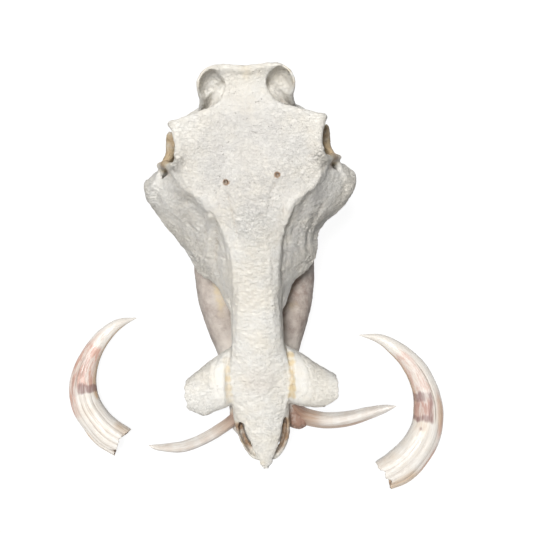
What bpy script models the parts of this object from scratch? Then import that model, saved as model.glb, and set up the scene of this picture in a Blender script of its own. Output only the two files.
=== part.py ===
"""A warthog skull on its lower jaw, with its two upper tusks drawn out and laid beside it.

Places are written in millimetres for a skull of the drawn size: x towards the animal's left, y from the
nose (minus) to the back of the head (plus), z up from the table. They become metres where a mesh is made.
The frame's origin is the middle of the flat under the chin.
"""

import math

import bmesh
import bpy
import numpy as np

# Driving dimensions, in millimetres
cheek_width = 225.0  # over the two cheek knobs
skull_length = 416.0  # nose tip to the crest at the back
skull_height = 241.0  # table to the crest
drawn_size = (225.0, 416.0, 241.0)

chin_y = -127.0  # where the chin rests, in the skull's own y
socket_gap = 0.4  # round each tooth in its socket
flare_wall = 4.6  # bone round the open tusk sockets
plate_wall = 7.0  # bone of the cheek and the back of the head
roof_wall = 9.0  # bone of the nasal roof and the forehead
ramus_wall = 8.0  # bone of the jaw's upright plate
bone_voxel = 2.3
merge_gap = 0.00002  # metres
cranium_faces = 3650
mandible_faces = 1450

to_metres = np.array((cheek_width, skull_length, skull_height)) / np.array(drawn_size) / 1000.0


def metres(points):
    """Skull millimetres as metres in the part's frame."""
    return (np.asarray(points, float) - (0.0, chin_y, 0.0)) * to_metres


def smooth_rows(rows, steps):
    """Rows of numbers on a smooth curve that passes through the given ones."""
    rows = np.asarray(rows, float)
    padded = np.concatenate([[2 * rows[0] - rows[1]], rows, [2 * rows[-1] - rows[-2]]])
    found = []
    for before, start, end, after in zip(padded, padded[1:], padded[2:], padded[3:]):
        for t in np.arange(steps) / steps:
            bend = 2 * before - 5 * start + 4 * end - after
            twist = 3 * start - before - 3 * end + after
            found.append(0.5 * (2 * start + (end - before) * t + bend * t**2 + twist * t**3))
    found.append(rows[-1])
    return np.array(found)


def unit(vectors):
    return vectors / np.maximum(np.linalg.norm(vectors, axis=-1, keepdims=True), 1e-9)


def new_object(name, mesh):
    thing = bpy.data.objects.new(name, mesh)
    bpy.context.scene.collection.objects.link(thing)
    return thing


def move_to(group, thing):
    for home in list(thing.users_collection):
        home.objects.unlink(thing)
    group.objects.link(thing)


def mesh_object(name, shape):
    """An object from a bmesh, with its faces turned outwards."""
    bmesh.ops.recalc_face_normals(shape, faces=shape.faces)
    mesh = bpy.data.meshes.new(name)
    shape.to_mesh(mesh)
    shape.free()
    return new_object(name, mesh)


def skin(name, rings):
    """A closed form through rings of equally many points, with both ends filled."""
    shape = bmesh.new()
    loops = [[shape.verts.new(point) for point in metres(ring)] for ring in rings]
    for low, high in zip(loops, loops[1:]):
        for i in range(len(low)):
            j = (i + 1) % len(low)
            shape.faces.new((low[i], low[j], high[j], high[i]))
    shape.faces.new(loops[0])
    shape.faces.new(loops[-1])
    bmesh.ops.remove_doubles(shape, verts=shape.verts, dist=merge_gap)
    return mesh_object(name, shape)


def outline(sides, power):
    """Points round a rounded box of half size 1: power 2 is an ellipse, more is squarer."""
    angles = np.arange(sides) * 2 * math.pi / sides
    across = np.sign(np.cos(angles)) * np.abs(np.cos(angles)) ** (2 / power)
    over = np.sign(np.sin(angles)) * np.abs(np.sin(angles)) ** (2 / power)
    return across, over


def bar_rings(rows, power=2.0, steps=4, sides=20):
    """Rings along stations of x, y, z, half width and half height."""
    stations = smooth_rows(rows, steps)
    path = stations[:, :3]
    along = unit(np.gradient(path, axis=0))
    side = unit(np.cross(along, (0.0, 0.0, 1.0)))
    up = np.cross(side, along)
    half = np.maximum(stations[:, 3:5], 0.05)
    across, over = outline(sides, power)
    rings = path[:, None] + side[:, None] * (half[:, :1] * across)[..., None]
    return rings + up[:, None] * (half[:, 1:] * over)[..., None], path, along, half


round_end = ((0.5, 0.87), (0.87, 0.5), (1.0, 0.08))  # reach past the last ring, and size there
flat_end = ()


def bar(rows, power=2.0, steps=4, sides=20, ends=round_end):
    """A closed bar along stations of x, y, z, half width and half height."""
    rings, path, along, half = bar_rings(rows, power, steps, sides)
    rings = list(rings)
    first, last = rings[0], rings[-1]
    for reach, size in ends:
        rings.insert(0, path[0] + (first - path[0]) * size - along[0] * half[0].min() * reach)
        rings.append(path[-1] + (last - path[-1]) * size + along[-1] * half[-1].min() * reach)
    return skin("bar", rings)


def sheet(guides, thickness=plate_wall, steps=4):
    """A curved plate through guide lines of equally many points."""
    lines = [smooth_rows(guide, steps) for guide in guides]
    grid = metres(smooth_rows(lines, steps))
    shape = bmesh.new()
    verts = [[shape.verts.new(point) for point in line] for line in grid]
    for low, high in zip(verts, verts[1:]):
        for i in range(len(low) - 1):
            shape.faces.new((low[i], low[i + 1], high[i + 1], high[i]))
    bmesh.ops.remove_doubles(shape, verts=shape.verts, dist=merge_gap)
    plate = mesh_object("sheet", shape)
    wall = plate.modifiers.new("Wall", "SOLIDIFY")
    wall.thickness = thickness * to_metres[0]
    wall.offset = 0.0
    return plate


def blob(centre, radii, turn=0.0):
    """An egg of bone, turned about the upright by some degrees."""
    bpy.ops.mesh.primitive_uv_sphere_add(segments=20, ring_count=12, radius=1.0)
    ball = bpy.context.object
    ball.scale = np.array(radii) * to_metres
    ball.rotation_euler = (0.0, 0.0, math.radians(turn))
    ball.location = metres(centre)
    return ball


def settle(thing):
    """Make what an object shows its own mesh, in place and with no modifiers."""
    bpy.context.view_layer.update()
    seen = thing.evaluated_get(bpy.context.evaluated_depsgraph_get())
    mesh = bpy.data.meshes.new_from_object(seen)
    mesh.transform(thing.matrix_world)
    thing.modifiers.clear()
    thing.matrix_world.identity()
    thing.data = mesh
    return thing


def joined(name, things):
    """One object that holds the meshes of all the given ones."""
    shape = bmesh.new()
    for thing in things:
        shape.from_mesh(settle(thing).data)
        bpy.data.objects.remove(thing)
    mesh = bpy.data.meshes.new(name)
    shape.to_mesh(mesh)
    shape.free()
    return new_object(name, mesh)


def mirrored(thing):
    """The same form on the other side of the head."""
    shape = bmesh.new()
    shape.from_mesh(settle(thing).data)
    bmesh.ops.scale(shape, vec=(-1.0, 1.0, 1.0), verts=shape.verts)
    return mesh_object(thing.name, shape)


def both_sides(things):
    return things + [mirrored(thing) for thing in things]


def fuse(thing, voxel=bone_voxel):
    """Melt overlapping forms into one closed skin."""
    remesh = thing.modifiers.new("Fuse", "REMESH")
    remesh.mode = "VOXEL"
    remesh.voxel_size = voxel / 1000.0
    return settle(thing)


def cut(thing, cutter):
    """Take one closed form out of another."""
    removal = thing.modifiers.new("Cut", "BOOLEAN")
    removal.operation = "DIFFERENCE"
    removal.solver = "EXACT"
    removal.object = cutter
    settle(thing)
    move_to(cutters, cutter)
    cutter.display_type = "WIRE"
    cutter.hide_render = True
    return thing


def soften(thing, rounds, faces):
    """Round off the steps of the fused skin and leave about the given number of triangles."""
    smooth = thing.modifiers.new("Smooth", "SMOOTH")
    smooth.factor = 0.5
    smooth.iterations = rounds
    settle(thing)
    triangles = sum(len(face.vertices) - 2 for face in thing.data.polygons)
    fewer = thing.modifiers.new("Fewer", "DECIMATE")
    fewer.ratio = faces / triangles
    fewer.use_collapse_triangulate = True
    return settle(thing)


# Where the roof's halfway line runs, as shares of the way from the middle out and from the edge up
half_out = 0.55
half_up = 0.62


def roof_forms():
    """The nasal bones, the broad forehead and the narrow top of the braincase."""
    middle = [
        (0, -230, 106.5), (0, -196, 115), (0, -170, 121), (0, -120, 134), (0, -60, 152), (0, -16, 168),
        (0, 30, 187), (0, 60, 199), (0, 86, 207), (0, 105, 211), (0, 125, 215), (0, 142, 220),
        (0, 151, 224), (0, 158, 227), (0, 174, 233), (0, 188, 239),
    ]
    edge = [
        (5.5, -225.5, 105.5), (14.6, -196, 111), (24, -170, 115), (30.5, -120, 127), (26.5, -60, 148),
        (24, -16, 164), (29, 30, 184), (42, 58, 195), (66, 86, 199), (71, 104, 206), (70, 122, 215),
        (74, 141, 219), (47, 151, 221), (28, 158, 224), (19.5, 174, 232), (27, 188, 239),
    ]
    half = [(e[0] * half_out, e[1], e[2] + (m[2] - e[2]) * half_up) for m, e in zip(middle, edge)]
    others = [[(-x, y, z) for x, y, z in line] for line in (edge, half)]
    lines = (*others, middle, half, edge)
    lowered = [[(x, y, z - roof_wall / 2) for x, y, z in line] for line in lines]
    return [sheet(lowered, thickness=roof_wall, steps=3)]


def face_forms():
    """The long muzzle under the nasal bones, the palate and the base of the skull."""
    muzzle = bar([
        (0, -158, 101, 26, 16), (0, -120, 106, 29, 24), (0, -80, 112, 29, 29), (0, -40, 120, 29, 36),
        (0, 0, 127, 30, 44), (0, 30, 136, 34, 48), (0, 55, 147, 37, 48), (0, 80, 162, 36, 42),
    ], power=2.8)
    braincase = bar([
        (0, 80, 180, 35, 30), (0, 110, 184, 36, 33), (0, 140, 188, 37, 36), (0, 160, 190, 36, 37),
    ], power=2.3)
    base = bar([
        (0, 60, 126, 19, 15), (0, 100, 140, 17, 13), (0, 140, 152, 21, 12), (0, 166, 160, 19, 11),
    ])
    snout_floor = bar([(0, -150, 86, 23, 5), (0, -185, 82, 19, 4), (0, -206, 82, 11, 4)])
    tooth_rows = bar([
        (31, 52, 92, 9, 12), (31.5, 20, 89, 10, 12), (31, -15, 89, 9, 12), (30, -45, 92, 7, 9),
    ])
    snout_sides = bar([
        (26, -158, 102, 5, 13), (26.5, -183, 95, 4.4, 10), (22, -201, 90, 4.4, 8),
        (13.5, -216, 86, 4.4, 6), (3, -221, 85, 4, 5),
    ])
    pterygoids = bar([
        (19, 52, 104, 4, 12), (20, 72, 104, 3.5, 14), (18, 90, 122, 4, 14), (16, 102, 138, 6, 10),
    ])
    return [muzzle, braincase, base, snout_floor] + both_sides([tooth_rows, snout_sides, pterygoids])


def cheek_forms():
    """The hollow cheek below the ridge, its knob, the arch and the rim of the eye socket."""
    face = sheet([
        [(22, -20, 163), (24, 14, 175), (31, 42, 188), (41, 57, 194),
         (54, 71, 197), (68, 87, 196), (76, 102, 192)],
        [(26, -28, 141), (33, 8, 148), (41, 34, 157), (51, 51, 165),
         (63, 66, 171), (76, 82, 174), (82, 101, 176)],
        [(27, -37, 121), (40, -8, 120), (53, 15, 127), (66, 40, 137),
         (79, 58, 144), (91, 74, 149), (96, 92, 153)],
        [(29, -46, 106), (43, -17, 101), (63, -2, 98), (80, 36, 109),
         (94, 55, 116), (105, 69, 123), (108, 84, 131)],
    ])
    knob = bar([(92, 64, 124, 7, 13), (102, 80, 128, 8, 19), (97, 98, 137, 8, 20)])
    knuckle = blob((105, 84, 133), (7.5, 16, 15), turn=-12)
    arch = bar([
        (97, 92, 139, 6, 20), (88, 108, 146, 5, 18), (80, 122, 150, 5, 16), (72, 135, 158, 5.5, 16),
        (62, 148, 171, 7, 12), (44, 156, 178, 9, 12),
    ])
    socket_front = bar([
        (71, 103, 205, 4, 5), (78, 103, 194, 4.5, 5), (83, 107, 179, 4, 6), (89, 108, 163, 4, 7),
    ])
    eyebrow = bar([
        (69, 108, 209, 5, 5), (67, 122, 213, 5, 5.5), (71, 139, 214, 5, 6), (75, 142, 203, 3.5, 4),
    ])
    cheek_spur = bar([(81, 126, 158, 4.5, 7), (80, 135, 170, 4, 6), (79, 139, 180, 3, 3)])
    return both_sides([face, knob, knuckle, arch, socket_front, eyebrow, cheek_spur])


def back_forms():
    """The high crest, the back wall of the head and what hangs below it."""
    crest = sheet([
        [(-44, 171, 234), (-40, 181, 237), (-27, 187, 240), (0, 185, 240),
         (27, 187, 240), (40, 181, 237), (44, 171, 234)],
        [(-42, 166, 218), (-36, 176, 218), (-24, 181, 218), (0, 178, 218),
         (24, 181, 218), (36, 176, 218), (42, 166, 218)],
        [(-43, 160, 198), (-36, 167, 195), (-24, 171, 194), (0, 169, 194),
         (24, 171, 194), (36, 167, 195), (43, 160, 198)],
        [(-53, 152, 180), (-40, 160, 172), (-25, 165, 170), (0, 166, 170),
         (25, 165, 170), (40, 160, 172), (53, 152, 180)],
    ])
    rim = bar([
        (27, 186, 239, 3, 4), (40, 181, 236, 3, 4), (44.5, 171, 232, 3, 4), (43, 163, 212, 3, 5),
        (45, 158, 194, 4, 6),
    ])
    hinge_seat = blob((56, 140, 172), (17, 12, 7))
    ear_post = bar([
        (42, 156, 186, 8, 8), (38, 156, 160, 8, 8), (37, 154, 122, 5.5, 6), (38, 150, 92, 3.5, 4),
    ])
    ear_bulb = blob((25, 130, 140), (10, 13, 14))
    neck_knuckle = blob((16, 173, 162), (9, 12, 15))
    back_ridge = bar([(0, 186, 230, 3, 4), (0, 181, 210, 3, 5), (0, 173, 188, 4, 6)])
    return [crest, back_ridge] + both_sides([rim, hinge_seat, ear_post, ear_bulb, neck_knuckle])


# The open tusk sockets: stations from inside the muzzle to the end of the flare
flare = [
    (14, -117, 108, 34, 21), (36, -125, 107, 29, 21), (52, -134, 105, 26.5, 19.5),
    (67, -139.5, 103, 23.5, 18.5), (80.5, -142, 101.5, 19.5, 17.5),
]


def flare_form():
    return bar(flare, power=2.3, ends=flat_end)


def flare_socket():
    """The hollow that held the tusk, open at the flare's slanting end."""
    rows = [(x, y, z, wide - flare_wall, high - flare_wall) for x, y, z, wide, high in flare[1:]]
    reach = np.array(rows[-1]) * 2 - np.array(rows[-2])
    deep = (30, -123, 107, 17, 11)
    return bar([deep, *rows[1:], reach, reach * 2 - np.array(rows[-1])], power=2.3)


def cranium_cutters():
    """The nasal passage, the sockets, the openings of the skull and the small holes for nerves."""
    nose = bar([
        (0, -240, 96, 14, 11), (0, -205, 97, 15, 10), (0, -165, 102, 18, 12), (0, -110, 110, 13, 15),
        (0, -60, 122, 14, 18),
    ])
    throat = bar([(0, 50, 101, 12, 11), (0, 75, 103, 13, 14), (0, 100, 104, 15, 16)])
    spine_hole = bar([(0, 200, 168, 9.5, 10), (0, 150, 174, 11, 12)])
    cheek_hole = bar([(50, -66, 121, 4.5, 6), (28, -42, 125, 4.5, 6), (22, -16, 128, 4, 5)])
    ear_hole = bar([(62, 150, 182, 3.5, 3.5), (46, 152, 176, 3.5, 3.5)])
    eye = blob((66, 121, 192), (17, 16, 17))
    return [nose, throat, spine_hole] + both_sides([cheek_hole, ear_hole, eye, flare_socket()])


def jaw_forms():
    """The lower jaw: chin, two deep bodies that swell outwards, and the tall plates behind."""
    chin = bar([
        (0, -207, 64, 23, 6), (0, -190, 58, 32, 11), (0, -165, 45, 30, 22), (0, -136, 28, 28, 30),
        (0, -108, 22, 23, 23), (0, -94, 22, 16, 12),
    ], power=2.4)
    body = bar([
        (23, -186, 60, 13, 12), (21, -158, 47, 18, 23), (25, -130, 31, 20, 33), (33, -100, 35, 17, 32),
        (41, -65, 38, 21, 31), (47, -30, 39, 23.5, 30), (49, 5, 39, 23.5, 30), (53, 35, 41, 19, 34),
        (60, 62, 42, 11, 43), (65, 88, 44, 7.5, 46.5), (66, 108, 50, 5.5, 40),
    ], power=2.4)
    tusk_holder = bar([(17, -150, 56, 13, 13), (28, -166, 66, 15, 13), (37, -178, 74, 12, 11)])
    ramus = sheet([
        [(61, 58, 52), (61, 68, 90), (61, 82, 130), (60, 93, 164), (59, 101, 184)],
        [(64, 82, 38), (64, 92, 84), (63, 101, 124), (60, 108, 150), (59, 108, 172)],
        [(65, 112, 16), (66, 122, 74), (63, 122, 118), (58, 123, 142), (56, 121, 152)],
        [(64, 128, 26), (66, 146, 72), (62, 146, 116), (55, 141, 144), (52, 137, 156)],
    ], thickness=ramus_wall)
    hinge = bar([(41, 139, 155, 5.5, 4), (50, 138, 156, 6, 5), (58, 137, 155, 5, 4)])
    tooth_bed = bar([(31, 54, 52, 9, 14), (30, 20, 51, 10, 15), (29, -20, 52, 9, 14), (28, -48, 52, 8, 11)])
    return [chin] + both_sides([body, tusk_holder, ramus, hinge, tooth_bed])


def grown(rows, extra):
    """The same stations, larger all round by the given millimetres."""
    return [(x, y, z, wide + extra, high + extra) for x, y, z, wide, high in rows]


lower_tusks = {
    "lower_tusk_right": [
        (-9, -143, 52, 5, 5), (-18, -162, 63, 6.5, 6), (-31, -177, 74, 6.8, 6.3), (-51, -188, 85, 6.6, 6),
        (-69, -195, 95, 6.3, 5.6), (-88, -199, 105, 6, 5), (-103, -198, 111, 5, 4), (-117, -195, 117, 3, 2.4),
        (-125, -192, 120, 0.3, 0.3),
    ],
    "lower_tusk_left": [
        (14, -140, 52, 6, 6), (27, -159, 64, 8.6, 8), (43.5, -173, 75, 9.3, 8.6), (59, -178, 85, 9.2, 8),
        (78, -179, 95, 8.8, 7.4), (99, -175.5, 105, 8, 6.4), (119, -169, 113, 6.6, 5), (137, -163, 121, 4, 3),
        (148, -160, 125, 0.3, 0.3),
    ],
}


# The drawn tusks, tip to root, as x, y and half width: they lie on the table, oval in section
drawn_tusks = {
    "upper_tusk_right": [
        (-153, -59, 0.3), (-174.5, -65, 6.3), (-193, -79, 9.4), (-207, -97, 11.8),
        (-217, -118, 14.6), (-221.5, -141, 17.2), (-218, -163.5, 18.2), (-206.5, -184, 18.6),
        (-192.5, -200, 19.6), (-174, -213, 19),
    ],
    "upper_tusk_left": [
        (129, -93.5, 0.3), (155, -99.5, 6.2), (177, -115, 10.3), (195, -136, 13.4),
        (206, -161, 15.8), (209.5, -188, 18.2), (205, -215, 19.5), (191, -238.5, 20.8),
        (171, -257, 21.8), (148.5, -269, 19.6),
    ],
}
tusk_flatness = 0.74  # height of the oval over its width
tusk_hollow = 0.3  # share of the length that is hollow at the root
tusk_edge = 2.6  # wall at the broken rim
tusk_lip = 0.8  # how far the rim slopes inwards
tusk_taper = 0.8  # how the hollow narrows: below 1 it stays wide longer
tusk_lift = 0.1  # between its belly and the table
tusk_sides = 12


def drawn_tusk(name, rows, notches):
    """A tusk laid on the table, with its hollow root and the rim broken in notches."""
    stations = [
        (x, y, wide * tusk_flatness + tusk_lift, wide, wide * tusk_flatness) for x, y, wide in rows
    ]
    rings, path, along, half = bar_rings(stations, steps=2, sides=tusk_sides)
    angles = np.arange(tusk_sides) * 2 * math.pi / tusk_sides
    broken = np.zeros(tusk_sides)
    for at, deep, wide in notches:
        away = np.abs((angles - at + math.pi) % (2 * math.pi) - math.pi)
        broken += deep * np.exp(-((away / wide) ** 2))
    rim = rings[-1] - along[-1] * broken[:, None]
    fade = 1.0 - tusk_edge / half[-1].mean()
    inner_rim = path[-1] + (rings[-1] - path[-1]) * fade - along[-1] * (broken[:, None] + tusk_lip)
    hollow = [inner_rim]
    reach = int(len(rings) * tusk_hollow)
    for step in range(2, reach):
        share = (1.0 - step / reach) ** tusk_taper
        hollow.append(path[-1 - step] + (rings[-1 - step] - path[-1 - step]) * fade * share)
    return skin(name, [*rings[:-1], rim, *hollow])


def tooth(name, centre, half_length, half_width, root_z, crown_z, columns):
    """A cheek tooth: a block with upright flutes, slightly domed where it grinds."""
    sides = 4 * columns
    across, along = outline(sides, tooth_squareness)
    flutes = 1.0 + flute_depth * np.cos(np.arange(sides) * math.pi)
    plan = np.stack([across * half_width * flutes, along * half_length * flutes], axis=1)
    rings = []
    for share, height in ((0.9, 0.0), (1.0, 0.25), (1.0, 0.85), (0.86, 1.0)):
        level = root_z + (crown_z - root_z) * height
        flat = np.array(centre) + plan * share
        rings.append(np.column_stack([flat, np.full(sides, level)]))
    return skin(name, rings)


flute_depth = 0.07
tooth_squareness = 3.2
socket_mouth = 8.0  # how far past the biting face a socket's block runs
half_widths = {"m3": 7.6, "m2": 6.6, "m1": 6.6}

# Cheek teeth as middle y, half length and flutes, upper then lower; x is the middle of the tooth row
cheek_teeth = {
    "upper": {
        "x": 31.0, "root": 88.0, "crown": 74.4,
        "rows": {"m3": (22, 26, 5), "m2": (-14, 8, 3), "m1": (-30.5, 6.5, 3)},
    },
    "lower": {
        "x": 29.5, "root": 56.0, "crown": 73.6,
        "rows": {"m3": (24, 25, 5), "m2": (-11, 8, 3), "m1": (-27.5, 6.5, 3)},
    },
}


def cheek_tooth(jaw, which, side):
    row = cheek_teeth[jaw]
    middle, half_length, columns = row["rows"][which]
    name = f"{jaw}_{which}_{'left' if side > 0 else 'right'}"
    centre = (side * row["x"], middle)
    return tooth(name, centre, half_length, half_widths[which], row["root"], row["crown"], columns)


def cheek_socket(jaw, which, side):
    """The block of space that a cheek tooth stands in, clear of its flutes."""
    row = cheek_teeth[jaw]
    middle, half_length, columns = row["rows"][which]
    away = 1 if jaw == "upper" else -1
    sides = 4 * columns
    across, along = outline(sides, tooth_squareness)
    clear = 1.0 + flute_depth
    x = side * row["x"] + across * (half_widths[which] * clear + socket_gap)
    y = middle + along * (half_length * clear + socket_gap)
    levels = (row["root"] + away * socket_gap, row["crown"] - away * socket_mouth)
    return skin("socket", [np.column_stack([x, y, np.full(sides, z)]) for z in levels])


incisor_first = 4.5  # from the middle of the chin to the first front tooth
incisor_step = 8.0


def incisor_rows(side, which):
    """A small front tooth that leans forwards out of the chin."""
    x = side * (incisor_first + incisor_step * which)
    return [
        (x * 0.9, -186, 60, 2.6, 2.4), (x, -204, 66, 3.4, 2.8), (x * 1.05, -216, 71, 3.2, 2.2),
        (x * 1.05, -221, 73.5, 2, 1),
    ]


tusk_mesh = {"steps": 2, "sides": 10, "ends": flat_end}
incisor_mesh = {"steps": 1, "sides": 7, "ends": flat_end}


def material(name, colour, roughness):
    made = bpy.data.materials.new(name)
    made.use_nodes = True
    shader = made.node_tree.nodes["Principled BSDF"]
    shader.inputs["Base Color"].default_value = (*colour, 1.0)
    shader.inputs["Roughness"].default_value = roughness
    shader.inputs["Metallic"].default_value = 0.0
    made.diffuse_color = (*colour, 1.0)
    return made


def keep(name, thing, finish):
    """Name a finished piece, give it its material and put it in the skull's collection."""
    thing.name = name
    thing.data.name = name
    colour, roughness = finish
    thing.data.materials.clear()
    thing.data.materials.append(material(name, colour, roughness))
    thing.data.shade_smooth()
    thing.data.set_sharp_from_angle(angle=math.radians(40))
    move_to(skull, thing)


bleached_bone = ((0.80, 0.76, 0.68), 0.75)
ivory = ((0.78, 0.70, 0.55), 0.4)
enamel = ((0.62, 0.52, 0.38), 0.45)
block_size = (0.4, 0.6, 0.06)  # metres, of the block that levels the chin and the jaw angles
block_y = 0.1


def floor_block():
    bpy.ops.mesh.primitive_cube_add(size=1.0)
    block = bpy.context.object
    block.scale = block_size
    block.location = (0.0, block_y, -block_size[2] / 2)
    return settle(block)


def build_cranium():
    forms = roof_forms() + face_forms() + cheek_forms() + back_forms() + both_sides([flare_form()])
    bone = joined("cranium", forms)
    fuse(bone)
    cut(bone, fuse(joined("cranium_openings", cranium_cutters())))
    soften(fuse(bone), 3, cranium_faces)
    for side in (-1, 1):
        for which in cheek_teeth["upper"]["rows"]:
            cut(bone, cheek_socket("upper", which, side))
    keep("cranium", bone, bleached_bone)


def build_mandible():
    bone = fuse(joined("mandible", jaw_forms()))
    soften(bone, 3, mandible_faces)
    cut(bone, floor_block())
    for rows in lower_tusks.values():
        cut(bone, bar(grown(rows[:6], socket_gap), **tusk_mesh))
    for side in (-1, 1):
        for which in cheek_teeth["lower"]["rows"]:
            cut(bone, cheek_socket("lower", which, side))
        for which in (0, 1):
            cut(bone, bar(grown(incisor_rows(side, which), socket_gap), **incisor_mesh))
    keep("mandible", bone, bleached_bone)


def build_teeth():
    for side in (-1, 1):
        for jaw, row in cheek_teeth.items():
            for which in row["rows"]:
                one = cheek_tooth(jaw, which, side)
                keep(one.name, one, enamel)
        for which in (0, 1):
            name = f"incisor_{which + 1}_{'left' if side > 0 else 'right'}"
            keep(name, bar(incisor_rows(side, which), **incisor_mesh), enamel)
    for name, rows in lower_tusks.items():
        keep(name, bar(rows, **tusk_mesh), ivory)
    splits = {
        "upper_tusk_right": [(2.4, 13.0, 0.5), (5.0, 7.0, 0.6)],
        "upper_tusk_left": [(2.9, 8.0, 0.7), (0.6, 5.0, 0.4)],
    }
    for name, rows in drawn_tusks.items():
        keep(name, drawn_tusk(name, rows, splits[name]), ivory)


for old in list(bpy.data.objects):
    bpy.data.objects.remove(old)
skull = bpy.data.collections.new("warthog_skull")
cutters = bpy.data.collections.new("cutters")
for group in (skull, cutters):
    bpy.context.scene.collection.children.link(group)
build_cranium()
build_mandible()
build_teeth()
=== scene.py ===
import math

import bmesh
import bpy
import numpy as np
from mathutils import Matrix, Vector, noise


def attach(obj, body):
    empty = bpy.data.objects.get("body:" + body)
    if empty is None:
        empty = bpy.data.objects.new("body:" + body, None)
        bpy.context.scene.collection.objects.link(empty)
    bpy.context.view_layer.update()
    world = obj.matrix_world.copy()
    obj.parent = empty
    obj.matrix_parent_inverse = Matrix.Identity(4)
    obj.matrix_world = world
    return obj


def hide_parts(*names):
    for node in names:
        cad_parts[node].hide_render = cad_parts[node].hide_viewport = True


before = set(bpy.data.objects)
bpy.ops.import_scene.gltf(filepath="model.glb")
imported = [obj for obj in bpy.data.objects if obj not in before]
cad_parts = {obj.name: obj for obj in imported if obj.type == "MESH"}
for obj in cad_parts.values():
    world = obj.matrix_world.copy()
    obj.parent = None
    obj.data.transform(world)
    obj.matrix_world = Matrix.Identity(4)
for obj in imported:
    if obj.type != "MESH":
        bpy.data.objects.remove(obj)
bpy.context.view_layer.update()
print("frame loaded:", len(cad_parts), "solids")

# Places are millimetres on the skull: x to the animal's left, y from the nose to the back of the head,
# z up from the table. toFrame turns them into metres round the frame's origin, under the chin.
chinY = -127.0
mm = 0.001
mergeReach = 0.00002  # metres: points nearer than this become one
thinnest = 0.05  # mm: the least half width of a bar


def toFrame(points):
    return (np.asarray(points, float) - (0.0, chinY, 0.0)) * mm


def toSkull(points):
    return np.asarray(points, float) / mm + (0.0, chinY, 0.0)


# Small helpers for lines, meshes and solids

def smoothRows(rows, steps):
    rows = np.asarray(rows, float)
    padded = np.concatenate([[2 * rows[0] - rows[1]], rows, [2 * rows[-1] - rows[-2]]])
    found = []
    for before, start, end, after in zip(padded, padded[1:], padded[2:], padded[3:]):
        for t in np.arange(steps) / steps:
            bend = 2 * before - 5 * start + 4 * end - after
            twist = 3 * start - before - 3 * end + after
            found.append(0.5 * (2 * start + (end - before) * t + bend * t**2 + twist * t**3))
    found.append(rows[-1])
    return np.array(found)


def unit(vectors):
    return vectors / np.maximum(np.linalg.norm(vectors, axis=-1, keepdims=True), 1e-9)


def ease(values, low, high):
    share = np.clip((values - low) / (high - low), 0.0, 1.0)
    return share * share * (3 - 2 * share)


def newObject(name, data):
    thing = bpy.data.objects.new(name, data)
    bpy.context.scene.collection.objects.link(thing)
    return thing


def objectFrom(name, shape):
    mesh = bpy.data.meshes.new(name)
    shape.to_mesh(mesh)
    shape.free()
    return newObject(name, mesh)


def meshObject(name, shape):
    bmesh.ops.recalc_face_normals(shape, faces=shape.faces)
    return objectFrom(name, shape)


def weave(shape, lines, closed):
    for low, high in zip(lines, lines[1:]):
        for i in range(len(low) if closed else len(low) - 1):
            j = (i + 1) % len(low)
            shape.faces.new((low[i], low[j], high[j], high[i]))


def skin(name, rings):
    shape = bmesh.new()
    loops = [[shape.verts.new(point) for point in toFrame(ring)] for ring in rings]
    weave(shape, loops, closed=True)
    shape.faces.new(loops[0])
    shape.faces.new(loops[-1])
    bmesh.ops.remove_doubles(shape, verts=shape.verts, dist=mergeReach)
    return meshObject(name, shape)


def outline(sides, power):
    angles = np.arange(sides) * 2 * math.pi / sides
    across = np.sign(np.cos(angles)) * np.abs(np.cos(angles)) ** (2 / power)
    over = np.sign(np.sin(angles)) * np.abs(np.sin(angles)) ** (2 / power)
    return across, over


def barRings(rows, power=2.0, steps=4, sides=24):
    stations = smoothRows(rows, steps)
    path = stations[:, :3]
    along = unit(np.gradient(path, axis=0))
    side = unit(np.cross(along, (0.0, 0.0, 1.0)))
    up = np.cross(side, along)
    half = np.maximum(stations[:, 3:5], thinnest)
    across, over = outline(sides, power)
    rings = path[:, None] + side[:, None] * (half[:, :1] * across)[..., None]
    return rings + up[:, None] * (half[:, 1:] * over)[..., None], path, along, half


roundEnd = ((0.5, 0.87), (0.87, 0.5), (1.0, 0.08))  # reach past the last ring, and size there
flatEnd = ()


def bar(rows, power=2.0, steps=4, sides=40, ends=roundEnd):
    rings, path, along, half = barRings(rows, power, steps, sides)
    rings = list(rings)
    first, last = rings[0], rings[-1]
    for reach, size in ends:
        rings.insert(0, path[0] + (first - path[0]) * size - along[0] * half[0].min() * reach)
        rings.append(path[-1] + (last - path[-1]) * size + along[-1] * half[-1].min() * reach)
    return skin("bar", rings)


def sheet(guides, thickness, steps=5):
    lines = [smoothRows(guide, steps) for guide in guides]
    grid = toFrame(smoothRows(lines, steps))
    shape = bmesh.new()
    weave(shape, [[shape.verts.new(point) for point in line] for line in grid], closed=False)
    bmesh.ops.remove_doubles(shape, verts=shape.verts, dist=mergeReach)
    plate = meshObject("sheet", shape)
    wall = plate.modifiers.new("Wall", "SOLIDIFY")
    wall.thickness = thickness * mm
    wall.offset = 0.0
    return plate


def blob(centre, radii, turn=0.0):
    bpy.ops.mesh.primitive_uv_sphere_add(segments=28, ring_count=16, radius=1.0)
    ball = bpy.context.object
    ball.scale = np.array(radii) * mm
    ball.rotation_euler = (0.0, 0.0, math.radians(turn))
    ball.location = toFrame(centre)
    return ball


def settle(thing):
    bpy.context.view_layer.update()
    seen = thing.evaluated_get(bpy.context.evaluated_depsgraph_get())
    mesh = bpy.data.meshes.new_from_object(seen)
    mesh.transform(thing.matrix_world)
    thing.modifiers.clear()
    thing.matrix_world.identity()
    thing.data = mesh
    return thing


def joined(name, things):
    shape = bmesh.new()
    for thing in things:
        shape.from_mesh(settle(thing).data)
        bpy.data.objects.remove(thing)
    return objectFrom(name, shape)


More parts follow.
